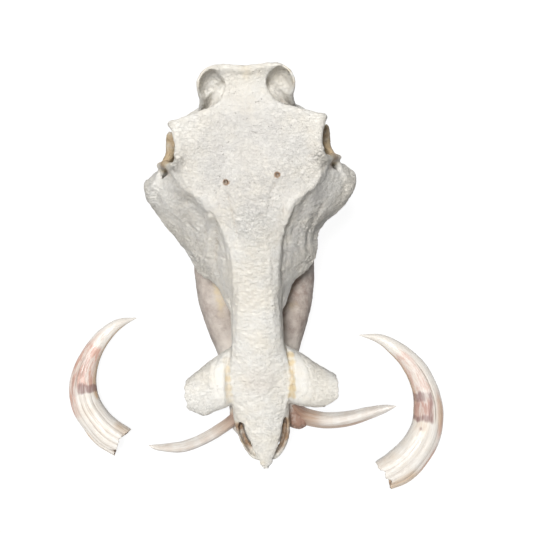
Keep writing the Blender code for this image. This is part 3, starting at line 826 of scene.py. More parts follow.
def browHollow(places, up):
    # the forehead sinks a little between the ridges; the muzzle has cross creases, and long ribs at its edges
    x, y, z = places.T
    plate = np.exp(-((x / 34) ** 2) - ((y - 98) / 42) ** 2) * (z > 180) * ease(up, 0.4, 0.75)
    back = ease(-y, -30, 10) * (1 - ease(np.abs(x), 24, 31)) * ease(y, -225, -205)
    creases = cloud(places * (0.42, 1.0, 0.42), 2.5, 11, 2) * back
    out = np.abs(x) - np.interp(y, backShape["y"], backShape["edge"])
    ribs = cloud(np.column_stack([out, y * 0.09, np.sign(x) * 40]), 3.2, 12, 2)
    ribs = ribs * np.exp(-(((out - 1) / 8) ** 2)) * ease(-y, -64, -40) * ease(y, -175, -150)
    fine = backShape["creases"] * creases + backShape["ribs"] * ribs
    return backShape["hollow"] * plate + fine * ease(up, 0.1, 0.5) * (z > 100)


muzzleBack = {
    "y": (-231, -198, -120, -60, -16, 30, 86), "top": (106, 115, 134, 152, 168, 186, 206),
    "drop": (1.0, 3.5, 4.0, 7.5, 7.5, 3.5, 0.0), "swell": 3.2,
}


def crowned(places):
    # the muzzle's back is rounded over to its edges, and swells beside the tusk sockets
    x, y, z = places.T.copy()
    wide = np.abs(x)
    below = 1 - ease(np.interp(y, muzzleBack["y"], muzzleBack["top"]) - z, 5, 30)
    inside = 1 - ease(wide, 31, 40)
    drop = np.interp(y, muzzleBack["y"], muzzleBack["drop"])
    places[:, 2] -= drop * np.minimum((wide / 28) ** 2.3, 1.3) * below * inside
    swell = muzzleBack["swell"] * np.exp(-(((y + 128) / 32) ** 2))
    places[:, 0] += np.sign(x) * swell * ease(wide, 14, 28) * (1 - ease(wide, 31, 44)) * below
    return places


# where the bone is rougher than elsewhere, and then where it is smoother
craniumRough = pairs(
    (104, 84, 134, 34, 0.6), (78, -148, 104, 20, 0.3), (62, 0, 104, 34, 1.0), (84, 36, 116, 30, 0.8),
    (74, 106, 206, 14, 1.2),
) + [
    (-62, 40, 140, 30, 0.5), (62, 40, 140, 30, 0.7), (0, 40, 190, 26, 0.35),
]
craniumSmooth = [
    (-43, -112, 124, 12, 0.85), (-44, -124, 125, 12, 0.85), (-43, -136, 123, 12, 0.8),
    (-41, -148, 118, 11, 0.7), (45, -108, 124, 12, 0.9), (47, -120, 126, 12, 0.9),
    (47, -132, 125, 12, 0.9), (45, -144, 120, 11, 0.8), (-36, 64, 194, 16, 0.4), (40, 64, 194, 16, 0.4),
    (0, 156, 225, 34, 0.6), (-18, 20, 180, 12, 0.3), (18, 10, 178, 12, 0.3), (0, 120, 214, 50, 0.25),
    (0, -60, 150, 50, 0.2), (0, -130, 132, 50, 0.2), (-60, 40, 150, 26, 0.3),
]


def worms(places, size, seed):
    # short winding ridges, as weathered bone has
    return 0.45 - np.abs(cloud(places, size, seed, 2)) * 2.2


# the bone's bumps: mm across and mm high
grains = {"broad": (26.0, 0.6), "middle": (9.0, 0.34), "fine": (4.6, 0.24), "grit": (2.6, 0.16)}


def boneGrain(places, amount, seed, rough=(), smooth=()):
    size = {name: values[0] for name, values in grains.items()}
    high = {name: values[1] for name, values in grains.items()}
    broad = cloud(places, size["broad"], seed, 2) * high["broad"]
    middle = worms(places, size["middle"], seed + 1) * high["middle"]
    fine = worms(places, size["fine"], seed + 2) * high["fine"]
    grit = cloud(places, size["grit"], seed + 3, 2) * high["grit"]
    small = (middle + (fine + grit)) * amount * (1 + spotMark(places, rough)) * (1 - spotMark(places, smooth))
    return broad * amount + small


# the animal's own unevenness: mm that each place is moved, with the right and left cheek's in that order
uneven = {"knobs": (-2.6, 1.2), "belowKnobs": (-5.0, -8.0), "nose": 2.7, "flareLobe": 4.5}


def lopsided(places):
    x, y, z = places.T.copy()
    out = ease(np.abs(x), 62, 104) * ease(y, 20, 60)
    places[:, 0] += np.where(x < 0, *uneven["knobs"]) * out
    places[:, 0] += uneven["nose"] * ease(-y, 162, 204)
    belowKnob = (1 - ease(z, 120, 150)) * np.exp(-(((y - 38) / 17) ** 2)) * ease(np.abs(x), 45, 76)
    places[:, 0] += np.where(x < 0, *uneven["belowKnobs"]) * belowKnob
    lobe = np.exp(-(((x + 63) / 8) ** 2)) * ease(-y, 150, 164)
    places[:, 1] -= uneven["flareLobe"] * lobe
    return places


def carve(thing, marks, amount, seed, rough=(), smooth=(), extra=None):
    places = toSkull(pointsOf(thing))
    normals = normalsOf(thing)
    up = normals[:, 2]
    push = boneGrain(places, amount, seed, rough, smooth)
    if extra:
        push = push + extra(places, up)
    for settings in marks:
        push = push + lineMark(places, up, settings)
    return places + normals * push[:, None]


# where no grime or painted shade gathers in creases, and then the brown places, which are painted shade
# inside holes where the amount is over 1
noGrimeShadePlaces = pairs(
    (60, -132, 118, 40, 0.85), (104, 84, 134, 40, 0.6),
) + [
    (-34, 166, 220, 26, 0.9), (34, 166, 220, 26, 0.75), (0, -190, 114, 40, 0.6), (0, -60, 150, 60, 0.5),
    (0, -140, 128, 60, 0.65), (0, 0, 170, 50, 0.3),
]
craniumBrownAndHoleShade = pairs(
    (84, 118, 158, 22, 0.5), (82, 110, 178, 22, 0.6),
) + [
    (-22, -178, 98, 14, 1.0), (24, -176, 96, 16, 1.0), (-14, -198, 88, 15, 0.9), (16, -200, 92, 16, 0.95),
    (-20, -190, 84, 14, 1.0), (-24.2, 83, 204, 4.2, 2.0), (26.6, 88, 205, 4.2, 2.0),
    (-24, 85, 195, 6.5, 2.4), (26.4, 90, 195, 6.5, 2.4), (-24, 86, 199, 6, 1.6), (26.3, 91, 200, 6, 1.6),
    (-23, -178, 100, 10, 1.35), (25, -176, 100, 10, 1.35), (-23, -192, 98, 14, 0.5),
    (-16, -207, 92, 12, 0.45), (23, -192, 98, 15, 0.9), (14, -207, 92, 12, 0.7),
    (36, -122, 121, 4.5, 0.45), (35.5, -112, 121, 4.5, 0.35), (36, -132, 121, 4.5, 0.45),
    (0, -170, 95, 22, 0.9), (-79, 122, 184, 26, 0.7), (79, 122, 184, 26, 0.75), (0, -120, 108, 40, 0.5),
]


def tint(thing, warm, paintedShade, brownAndHoleShade, seed, rough=(), smooth=()):
    places = toSkull(pointsOf(thing))
    near = hollowness(thing, 4)
    wide = hollowness(thing, 24)
    # grime and painted shade darken fine creases and wide hollows
    grimeAndShade = np.clip(near * 2.8, 0, 1) * 0.6 + np.clip((wide - 0.25) * 0.7, 0, 1) * 0.6
    markPoints(thing, "creviceGrimeShade", grimeAndShade * (1 - spotMark(places, noGrimeShadePlaces)))
    patchy = 1 + 0.5 * cloud(places, 11.0, seed, 2)
    markPoints(thing, "warm", spotMark(places, warm) * patchy)
    markPoints(thing, "paintedShade", spotMark(places, paintedShade) * patchy)
    markPoints(thing, "brownAndHoleShade", spotMark(places, brownAndHoleShade))
    markPoints(thing, "worn", (0.45 + spotMark(places, rough)) * (1 - spotMark(places, smooth)))


def finish(thing, name, material, node):
    thing.name = name
    thing.data.name = name
    thing.data.materials.clear()
    thing.data.materials.append(material)
    thing.data.shade_smooth()
    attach(thing, "root")
    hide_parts(node)
    print("made", name, triangles(thing), "triangles")


def makeCranium():
    shape = craniumShape
    forms = roofForms() + faceForms() + cheekForms() + backForms()
    forms += bothSides([bar(flareRows, power=2.3, sides=64, ends=flatEnd)])
    bone = rounded(fuse(joined("cranium", forms), shape["fuseVoxel"]), shape["roundsBeforeCuts"])
    cut(bone, fuse(joined("openings", craniumOpenings()), shape["fuseVoxel"]))
    for side in (-1, 1):
        cut(bone, flareBreak(side))
    cut(bone, joined("smallHoles", browHoles() + noseSlits()))
    rounded(fuse(bone, shape["carveVoxel"]), shape["roundsAfterCuts"])
    soften(bone)
    carved = carve(bone, craniumMarks, 1.0, 1, craniumRough, craniumSmooth, browHollow)
    placePoints(bone, toFrame(lopsided(crowned(carved))))
    thinned(bone, shape["triangles"])
    tint(bone, craniumWarm, craniumShade, craniumBrownAndHoleShade, 7, craniumRough, craniumSmooth)
    finish(bone, "craniumBone", boneMaterial("bleachedBone", {}), "cranium")


makeCranium()


# The mandible: chin, two deep bodies that swell outwards, tall plates behind

mandibleShape = {"fuseVoxel": 2.0, "rounds": 6, "carveVoxel": 1.4, "triangles": 120000, "plateWall": 7.6}

mandibleMarks = [
    mark([(-22, -160), (-26, -140), (-30, -118)], 1.2, -0.7, 20, upFrom=-1.0),
    mark([(24, -160), (27, -138), (31, -116)], 1.0, -0.9, 20, upFrom=-1.0),
    mark([(37, -188.5), (38.5, -191)], 2.2, -4.0, 55, fade=0, upFrom=-0.5),
    mark([(43, -169), (46, -178), (48, -189)], 1.1, -1.4, 60, fade=0, upFrom=-0.5),
]
mandibleWarm = [
    (-44, -12, 67, 10, 0.8), (-44, -20, 67, 10, 0.85), (-43.5, -28, 67, 10, 0.85),
    (-42.5, -36, 67, 10, 0.75), (-41, -45, 67, 10, 0.6), (-40, -54, 67, 10, 0.45),
    (-30, -174, 76, 16, 0.5), (24, -170, 66, 20, 0.5), (0, -190, 60, 24, 0.5), (40, -176, 74, 12, 0.6),
    (44, -50, 68, 12, 0.5),
]
# where the jaw's sides are greyed as painted shade
mandibleShade = [
    (60, -10, 60, 54, 0.95), (50, -60, 52, 52, 0.95), (64, 40, 60, 44, 0.6), (-60, -10, 60, 52, 0.7),
    (-50, -62, 52, 52, 0.7),
]
# brown stains, and painted shade inside the hole where the amount is over 1
mandibleBrownAndHoleShade = [
    (44, -182, 80, 26, 1.0), (-30, -174, 76, 16, 0.55), (0, -200, 66, 20, 0.4), (38, -191, 74, 5, 1.6),
    (-24, -186, 62, 12, 0.3), (45, -18, 66, 14, 0.5), (43, -34, 66, 12, 0.45),
]


def mandibleForms():
    chin = bar([
        (0, -207, 64, 23, 6), (0, -190, 58, 32, 11), (0, -165, 45, 30, 22), (0, -136, 28, 28, 30),
        (0, -108, 22, 23, 23), (0, -94, 22, 16, 12),
    ], power=2.4)
    body = bar([
        (23, -186, 60, 13, 12), (21, -158, 47, 18, 23), (25, -130, 31, 20, 33), (33, -100, 35, 17, 32),
        (41, -65, 38, 21, 31), (47, -30, 39, 23.5, 30), (49, 5, 39, 23.5, 30), (53, 35, 41, 19, 34),
        (60, 62, 42, 11, 43), (65, 88, 44, 7.5, 46.5), (66, 108, 50, 5.5, 40),
    ], power=2.4)
    tuskHolders = [
        bar([
            (17, -150, 56, 13, 13), (28, -166, 66, 15, 13), (37, -177, 74, 12.5, 11.5),
            (44, -180, 79, 11.5, 11),
        ]),
        bar([(-15, -150, 55, 12, 12), (-22, -162, 63, 12, 11), (-29, -171, 70, 9, 8)]),
    ]
    ramus = sheet([
        [(61, 58, 52), (61, 68, 90), (61, 82, 130), (60, 93, 164), (59, 101, 184)],
        [(64, 82, 38), (64, 92, 84), (63, 101, 124), (60, 108, 150), (59, 108, 172)],
        [(65, 112, 16), (66, 122, 74), (63, 122, 118), (58, 123, 142), (56, 121, 152)],
        [(64, 128, 26), (66, 146, 72), (62, 146, 116), (55, 141, 144), (52, 137, 156)],
    ], mandibleShape["plateWall"])
    hinge = bar([(41, 139, 155, 5.5, 4), (50, 138, 156, 6, 5), (58, 137, 155, 5, 4)])
    toothBed = bar([(31, 54, 52, 9, 14), (30, 20, 51, 10, 15), (29, -20, 52, 9, 14), (28, -48, 52, 8, 11)])
    return [chin, *tuskHolders] + bothSides([body, ramus, hinge, toothBed])


# the jaw's bone: darker all over than the cranium's, partly its own tone and partly painted shade
shadedJawFinish = {
    "cream": (0.74, 0.67, 0.59), "chalk": (0.77, 0.72, 0.66), "shadeGrey": (0.35, 0.28, 0.245),
    "warm": (0.66, 0.55, 0.38), "brownAndHoleShade": (0.33, 0.20, 0.15), "relief": 0.0008,
}


def makeMandible():
    shape = mandibleShape
    bone = rounded(fuse(joined("mandible", mandibleForms()), shape["fuseVoxel"]), shape["rounds"])
    fuse(bone, shape["carveVoxel"])
    places = carve(bone, mandibleMarks, 0.9, 21)
    places[:, 2] = np.maximum(places[:, 2], 0.0)  # it rests on the table
    placePoints(bone, toFrame(places))
    thinned(bone, shape["triangles"])
    tint(bone, mandibleWarm, mandibleShade, mandibleBrownAndHoleShade, 27)
    material = boneMaterial("shadedJawBone", shadedJawFinish)
    finish(bone, "mandibleBone", material, "mandible")


makeMandible()


# The upper tusks, drawn out and laid on the table: tip to root, as x, y and half width.
# A level runs from 0 at the tip to 1 at the root.

looseTusks = {
    "upper_tusk_right": {
        "rows": [
            (-153, -59, 0.3), (-174.5, -65, 6.3), (-193, -79, 9.4), (-207, -97, 11.8),
            (-217, -118, 14.6), (-221.5, -141, 17.2), (-218, -163.5, 18.2), (-206.5, -184, 18.6),
            (-192.5, -200, 19.6), (-174, -213, 19),
        ],
        # angle (0 is the picture's left edge, pi its right), depth and width
        "notches": [(0.86, 8.0, 0.16), (1.9, 4.5, 0.7), (5.0, 7.0, 0.6)],
        # angle, width, depth, level where it starts, level where it ends, darkness
        "grooves": [
            (0.72, 0.07, 1.8, 0.76, 1.1, 1.0), (1.05, 0.08, 0.4, 0.62, 1.1, 0.5),
            (1.45, 0.1, 0.6, 0.58, 1.1, 0.6), (1.85, 0.12, 0.8, 0.55, 1.1, 0.5),
            (2.3, 0.09, 0.5, 0.6, 1.1, 0.5), (1.2, 0.03, 0.3, 0.34, 0.56, 0.9),
            (1.5, 0.03, 0.3, 0.36, 0.58, 0.7), (0.8, 0.03, 0.3, 0.4, 0.66, 0.5),
        ],
        # level from and to, angle from and to, and amount
        "stains": [(0.535, 0.595, 1.35, 3.3, 0.9), (0.38, 0.5, 1.0, 1.9, 0.4), (0.5, 0.6, 0.8, 1.4, 0.4)],
        "pinks": [(0.3, 0.56, 0.3, 2.6, 1.1), (0.54, 0.7, 0.1, 1.1, 1.1), (0.2, 0.34, 0.6, 1.8, 0.5)],
        # the first tan runs along the inner edge as painted shade
        "tansAndShade": [
            (0.02, 0.66, 2.55, 3.8, 1.0), (0.78, 1.1, -0.4, 0.55, 1.0), (0.88, 1.1, 2.2, 3.6, 0.6),
            (0.6, 0.9, 1.3, 2.2, 0.35),
        ],
        "seed": 31,
    },
    "upper_tusk_left": {
        "rows": [
            (129, -93.5, 0.3), (155, -99.5, 6.2), (177, -115, 10.3), (195, -136, 13.4),
            (206, -161, 15.8), (209.5, -188, 18.2), (205, -215, 19.5), (191, -238.5, 20.8),
            (171, -257, 21.8), (148.5, -269, 19.6),
        ],
        "notches": [(1.2, 4.5, 0.22), (1.95, 6.5, 0.3), (4.6, 6.0, 0.6)],
        "grooves": [
            (1.92, 0.05, 0.8, 0.3, 0.62, 1.0), (1.6, 0.2, 0.9, 0.66, 1.1, 0.35),
            (1.2, 0.09, 0.4, 0.7, 1.1, 0.5), (2.2, 0.12, 0.6, 0.6, 1.1, 0.5),
            (2.66, 0.07, 1.9, 0.72, 1.1, 1.0), (1.0, 0.05, 0.9, 0.66, 0.68, 1.0),
            (2.45, 0.04, 0.3, 0.5, 0.64, 0.5),
        ],
        "stains": [
            (0.455, 0.62, -0.3, 1.78, 0.45), (0.455, 0.51, -0.3, 1.3, 0.9), (0.585, 0.62, -0.3, 1.75, 1.0),
            (0.46, 0.6, 1.45, 1.78, 0.8), (0.655, 0.672, 0.9, 1.15, 0.9),
        ],
        "pinks": [
            (0.22, 0.46, 0.2, 1.9, 0.6), (0.5, 0.6, 0.2, 1.7, 1.2), (0.48, 0.68, 2.2, 2.8, 0.6),
            (0.7, 0.84, 2.4, 3.0, 0.7),
        ],
        # the first tan runs along the inner edge as painted shade
        "tansAndShade": [
            (0.02, 0.62, -0.6, 0.55, 1.0), (0.5, 0.66, 2.1, 2.7, 0.8), (0.72, 1.1, 2.7, 3.8, 1.1),
            (0.84, 1.1, 1.9, 2.7, 0.7), (0.6, 0.7, 0.4, 1.6, 0.5), (0.86, 1.1, 0.1, 1.0, 0.4),
        ],
        "seed": 37,
    },
}
looseTuskShape = {
    "flatness": 0.74, "hollow": 0.3, "edge": 2.2, "sides": 112, "steps": 16, "lift": 0.1,
    "rippleSize": 3.5, "rippleHeight": 0.28, "swellSize": 16.0, "swellHeight": 0.35,
    "breaksFrom": 0.86,  # level from which the broken rim pulls the rings back
    "inset": 0.7,  # mm from the rim's outer edge to the first ring inside
}


def patches(level, angle, marks, soft=0.012, blur=0.12):
    # fields of colour laid out along and round a tusk
    found = np.zeros(len(level))
    for start, end, left, right, amount in marks:
        along = ease(level, start - soft, start + soft) * (1 - ease(level, end - soft, end + soft))
        turned = (angle - left + 1.0) % (2 * math.pi) + left - 1.0
        across = ease(turned, left - blur, left + blur) * (1 - ease(turned, right - blur, right + blur))
        found = np.maximum(found, amount * along * across)
    return found


def turnedAway(angles, at):
    return np.abs((angles - at + math.pi) % (2 * math.pi) - math.pi)


def alongGroove(level, start, end):
    return ease(level, start - 0.02, start + 0.06) * (1 - ease(level, end - 0.03, end + 0.01))


def tuskRelief(straight, share, angles, settings):
    # long grooves towards the root, and small ripples
    push = np.zeros(straight.shape[:2])
    for at, wide, deep, start, end, _ in settings["grooves"]:
        groove = deep * np.exp(-((turnedAway(angles, at) / wide) ** 2))
        push -= groove * alongGroove(share, start, end)[:, None]
    shape, places, seed = looseTuskShape, straight.reshape(-1, 3), settings["seed"]
    ripples = cloud(places * (1, 1, 0.12), shape["rippleSize"], seed, 2).reshape(push.shape)
    push += ripples * shape["rippleHeight"] * ease(share, 0.05, 0.5)[:, None]
    return push + cloud(places, shape["swellSize"], seed + 1, 2).reshape(push.shape) * shape["swellHeight"]


def brokenRim(angles, settings):
    # how far the root's rim is broken off: notches, and small teeth
    broken = np.zeros(len(angles))
    for at, deep, wide in settings["notches"]:
        broken += deep * np.exp(-((turnedAway(angles, at) / wide) ** 2))
    circle = np.column_stack([np.cos(angles), np.sin(angles), np.zeros(len(angles))])
    seed = settings["seed"]
    coarse, small = np.abs(cloud(circle, 0.22, seed + 2, 3)), np.abs(cloud(circle, 0.09, seed + 3, 2))
    return broken + (2.2 * coarse + 1.2 * small)


def hollowRoot(path, along, rings, half):
    # rings from the rim back into the root, each narrower than the last
    fade = 1.0 - looseTuskShape["edge"] / half[-1].mean()
    reach = int(len(rings) * looseTuskShape["hollow"])
    found = []
    for step in range(0, reach, 3):
        narrow = fade * (1.0 - step / reach) ** 0.8
        found.append(path[-1 - step] + (rings[-1 - step] - path[-1 - step]) * narrow)
    found[0] = found[0] - along[-1] * looseTuskShape["inset"]
    return found


def matched(thing, source):
    # skin() may have merged points at the tip, so each point's ring place is found by position
    order = {tuple(np.round(point, 7)): i for i, point in enumerate(source)}
    places = pointsOf(thing)
    index = np.array([order.get(tuple(np.round(point, 7)), 0) for point in places])
    missing = np.flatnonzero(index == 0)
    if len(missing) > 1:
        for i in missing:
            index[i] = np.argmin(np.linalg.norm(source - places[i], axis=1))
    return index


def colourTusk(thing, places, length, inside, settings):
    level = places[:, 2] / length
    angle = np.arctan2(places[:, 1], places[:, 0])
    wander = cloud(places * (1, 1, 0.3), 9.0, settings["seed"] + 4, 2)
    spread = (level + wander * 0.012, angle + wander * 0.12)
    crack = np.zeros(len(level))
    for at, _, _, start, end, dark in settings["grooves"]:
        line = np.exp(-((turnedAway(angle, at) / 0.04) ** 2)) * alongGroove(level, start, end) * dark
        crack = np.maximum(crack, line)
    markPoints(thing, "straight", places * mm)
    markPoints(thing, "stain", np.where(inside, 0.4, patches(*spread, settings["stains"])))
    markPoints(thing, "pink", patches(*spread, settings["pinks"], 0.03, 0.25) * (1 - inside))
    markPoints(thing, "tan", np.maximum(patches(*spread, settings["tansAndShade"], 0.04, 0.3), inside * 1.0))
    markPoints(thing, "crack", crack * (1 - inside))


def makeLooseTusk(node, settings):
    shape = looseTuskShape
    flatness, sides = shape["flatness"], shape["sides"]
    rows = np.array(settings["rows"])
    wide, high = rows[:, 2], rows[:, 2] * flatness
    stations = np.column_stack([rows[:, :2], high + shape["lift"], wide, high])
    rings, path, along, half = barRings(stations, steps=shape["steps"], sides=sides)
    share = np.linspace(0.0, 1.0, len(rings))
    angles = np.arange(sides) * 2 * math.pi / sides
    length = np.linalg.norm(np.diff(path, axis=0), axis=1).sum()
    straight = np.empty(rings.shape)
    straight[..., 0] = half[:, :1] * np.cos(angles)
    straight[..., 1] = half[:, :1] * np.sin(angles)
    straight[..., 2] = (share * length)[:, None]
    outward = unit(rings - path[:, None])
    rings = rings + outward * tuskRelief(straight, share, angles, settings)[..., None]
    pull = ease(share, shape["breaksFrom"], 1.0) ** 2
    rings -= along[:, None] * (pull[:, None] * brokenRim(angles, settings))[..., None]
    rings[..., 2] = np.maximum(rings[..., 2], 0.0)  # it lies on the table
    inner = hollowRoot(path, along, rings, half)
    thing = skin(node, [*rings, *inner])
    places = np.concatenate([straight, np.repeat(straight[-1:], len(inner), axis=0)]).reshape(-1, 3)
    index = matched(thing, toFrame(np.concatenate([rings, inner]).reshape(-1, 3)))
    colourTusk(thing, places[index], length, index >= len(rings) * sides, settings)
    finish(thing, node.replace("_", "") + "Ivory", ivoryMaterial(node + "Ivory", {}), node)


for node, settings in looseTusks.items():
    makeLooseTusk(node, settings)


# Swept teeth: one Geometry Nodes tree runs a round profile along a path of points

def newTree(name, inputs):
    tree = bpy.data.node_groups.new(name, "GeometryNodeTree")
    for label, kind in inputs.items():
        tree.interface.new_socket(label, in_out="INPUT", socket_type="NodeSocket" + kind)
    tree.interface.new_socket("Tooth", in_out="OUTPUT", socket_type="NodeSocketGeometry")
    return tree, addNode(tree, "NodeGroupInput").outputs


def addNode(tree, kind, values=None, **settings):
    made = tree.nodes.new(kind)
    for name, value in settings.items():
        setattr(made, name, value)
    for name, value in (values or {}).items():
        made.inputs[name].default_value = value
    return made


def linkAll(tree, links):
    for start, end in links:
        tree.links.new(start, end)


def painted(tree, shape, material):
    real = addNode(tree, "GeometryNodeRealizeInstances")
    paint = addNode(tree, "GeometryNodeSetMaterial")
    result = addNode(tree, "NodeGroupOutput")
    linkAll(tree, [
        (shape, real.inputs[0]), (real.outputs[0], paint.inputs["Geometry"]),
        (material, paint.inputs["Material"]), (paint.outputs[0], result.inputs[0]),
    ])
    return tree


def sweepTree():
    inputs = {"Path": "Geometry", "Sides": "Int", "Flatness": "Float", "Finish": "Material"}
    tree, given = newTree("toothSweep", inputs)
    curve = addNode(tree, "GeometryNodeMeshToCurve")
    normal = addNode(tree, "GeometryNodeSetCurveNormal", mode="Z_UP")
    width = addNode(tree, "GeometryNodeInputNamedAttribute", {"Name": "halfWide"}, data_type="FLOAT")
    radius = addNode(tree, "GeometryNodeSetCurveRadius")
    circle = addNode(tree, "GeometryNodeCurvePrimitiveCircle", {"Radius": 1.0})
    flat = addNode(tree, "GeometryNodeTransform")
    scale = addNode(tree, "ShaderNodeCombineXYZ", {"X": 1.0, "Z": 1.0})
    sweep = addNode(tree, "GeometryNodeCurveToMesh", {"Fill Caps": True})
    linkAll(tree, [
        (given["Path"], curve.inputs[0]), (curve.outputs[0], normal.inputs["Curve"]),
        (normal.outputs[0], radius.inputs["Curve"]), (width.outputs[0], radius.inputs["Radius"]),
        (radius.outputs[0], sweep.inputs["Curve"]), (width.outputs[0], sweep.inputs["Scale"]),
        (given["Sides"], circle.inputs["Resolution"]), (circle.outputs[0], flat.inputs["Geometry"]),
        (given["Flatness"], scale.inputs["Y"]), (scale.outputs[0], flat.inputs["Scale"]),
        (flat.outputs[0], sweep.inputs["Profile Curve"]),
    ])
    return painted(tree, sweep.outputs[0], given["Finish"])


def runTree(thing, tree, values):
    modifier = thing.modifiers.new("Nodes", "NODES")
    modifier.node_group = tree
    for item in tree.interface.items_tree:
        if item.in_out == "INPUT" and item.name in values:
            modifier[item.identifier] = values[item.name]
    return settle(thing)


toothSweep = sweepTree()

lowerTusks = {
    "lower_tusk_right": {
        "rows": [
            (-9, -143, 52, 5), (-18, -162, 63, 6.5), (-31, -177, 74, 6.8), (-51, -188, 85, 6.6),
            (-69, -195, 95, 6.3), (-88, -199, 105, 6), (-103, -198, 111, 5), (-117, -195, 117, 3),
            (-125, -192, 120, 0.3),
        ],
        "seed": 41,
        "shade": 3.4,
        "colours": {"base": (0.72, 0.63, 0.55), "tan": (0.58, 0.46, 0.37), "stain": (0.33, 0.21, 0.16)},
    },
    "lower_tusk_left": {
        "rows": [
            (14, -140, 52, 6), (27, -159, 64, 8.6), (43.5, -173, 75, 9.3), (59, -178, 85, 9.2),
            (78, -179, 95, 8.8), (99, -175.5, 105, 8), (119, -169, 113, 6.6), (137, -163, 121, 4),
            (148, -160, 125, 0.3),
        ],
        "seed": 43,
        "shade": -0.2,
        "colours": {"base": (0.72, 0.63, 0.55), "tan": (0.50, 0.36, 0.27), "stain": (0.24, 0.13, 0.09)},
    },
}
lowerTuskShape = {
    "flatness": 0.92, "sides": 72, "steps": 14,
    "rippleSize": 3.0, "rippleHeight": 0.18, "swellSize": 14.0, "swellHeight": 0.25,
    "ridge": 1.75, "threeSided": 0.11,  # where the first of three ridges runs, and how far they stand out
}


def sweepTooth(name, rows, steps, sides, flatness, material):
    stations = smoothRows(rows, steps)
    path = toFrame(stations[:, :3])
    mesh = bpy.data.meshes.new(name)
    mesh.from_pydata([tuple(point) for point in path], [(i, i + 1) for i in range(len(path) - 1)], [])
    thing = newObject(name, mesh)
    markPoints(thing, "halfWide", np.maximum(stations[:, 3], 0.15) * mm)
    return runTree(thing, toothSweep, {"Sides": sides, "Flatness": flatness, "Finish": material}), path


def straighten(thing, path):
    places = pointsOf(thing)
    runs = np.concatenate([[0.0], np.cumsum(np.linalg.norm(np.diff(path, axis=0), axis=1))])
    nearest = np.array([np.argmin(((path - place) ** 2).sum(axis=1)) for place in places])
    along = unit(np.gradient(path, axis=0))[nearest]
    side = unit(np.cross(along, (0.0, 0.0, 1.0)))
    up = np.cross(side, along)
    away = places - path[nearest]
    across, over, onward = ((away * way).sum(1) for way in (side, up, along))
    return np.stack([across, over, runs[nearest] + onward], axis=1), runs[-1]


def makeLowerTusk(node, settings):
    shape, seed = lowerTuskShape, settings["seed"]
    material = ivoryMaterial(node + "Ivory", {"rough": (0.22, 0.4), **settings["colours"]})
    sizes = (shape[name] for name in ("steps", "sides", "flatness"))
    thing, path = sweepTooth(node, settings["rows"], *sizes, material)
    straight, length = straighten(thing, path)
    push = cloud(straight * (1, 1, 0.15) / mm, shape["rippleSize"], seed, 2) * shape["rippleHeight"]
    push += cloud(straight / mm, shape["swellSize"], seed + 1, 2) * shape["swellHeight"]
    angle = np.arctan2(straight[:, 1], straight[:, 0])
    wide = np.hypot(straight[:, 0], straight[:, 1]) / mm
    push += wide * shape["threeSided"] * np.cos(3 * (angle - shape["ridge"]))
    places = toSkull(pointsOf(thing))
    placePoints(thing, toFrame(places + normalsOf(thing) * push[:, None]))
    level = straight[:, 2] / length
    # painted shade: one face of the tusk darkened with tan
    shadedFace = ease(np.cos(angle - settings["shade"]), 0.3, 0.6) * (1 - ease(level, 0.7, 0.95))
    markPoints(thing, "straight", straight)
    markPoints(thing, "tan", np.maximum(1 - ease(level, 0.38, 0.6), shadedFace))
    markPoints(thing, "stain", (1 - ease(level, 0.3, 0.46)) * 0.9)
    for name in ("pink", "crack"):  # the ivory reads these too; here they are empty
        markPoints(thing, name, np.zeros(len(places)))
    finish(thing, node.replace("_", "") + "Ivory", material, node)


for node, settings in lowerTusks.items():
    makeLowerTusk(node, settings)

incisorShape = {
    "first": 4.5, "step": 8.0, "steps": 10, "sides": 40, "flatness": 0.84,
    # how far each station leans out, its y and z, and its half width
    "rows": [(0.9, -186, 60, 2.6), (1.0, -204, 66, 3.3), (1.05, -216, 71, 3.1), (1.05, -221, 73.5, 1.9)],
}


def makeIncisors(material):
    shape = incisorShape
    for side, word in ((-1, "right"), (1, "left")):
        for which in (0, 1):
            x = side * (shape["first"] + shape["step"] * which)
            rows = [(x * lean, y, z, wide) for lean, y, z, wide in shape["rows"]]
            node = f"incisor_{which + 1}_{word}"
            thing, _ = sweepTooth(node, rows, shape["steps"], shape["sides"], shape["flatness"], material)
            finish(thing, f"incisor{which + 1}{word.title()}", material, node)


enamel = enamelMaterial("toothEnamel")
makeIncisors(enamel)


# Cheek teeth: Geometry Nodes stand a column of enamel on each point of a grid

def columnTree():
    inputs = {"Columns": "Geometry", "Radius": "Float", "Height": "Float", "Finish": "Material"}
    tree, given = newTree("toothColumns", inputs)
    counts = {"Vertices": 12, "Side Segments": 3, "Fill Segments": 2}
    column = addNode(tree, "GeometryNodeMeshCylinder", counts)
    place = addNode(tree, "GeometryNodeInstanceOnPoints")
    linkAll(tree, [
        (given["Radius"], column.inputs["Radius"]), (given["Height"], column.inputs["Depth"]),
        (given["Columns"], place.inputs["Points"]), (column.outputs["Mesh"], place.inputs["Instance"]),
    ])
    return painted(tree, place.outputs[0], given["Finish"])


toothColumns = columnTree()

# middle y, half length, half width and columns along; x is the middle of the tooth row
cheekTeeth = {
    "upper": {"x": 31.0, "root": 88.0, "crown": 74.6,
              "rows": {"m3": (22, 26, 7.6, 9), "m2": (-14, 8, 6.6, 3), "m1": (-30.5, 6.5, 6.6, 3)}},
    "lower": {"x": 29.5, "root": 56.0, "crown": 73.4,
              "rows": {"m3": (24, 25, 7.6, 9), "m2": (-11, 8, 6.6, 3), "m1": (-27.5, 6.5, 6.6, 3)}},
}


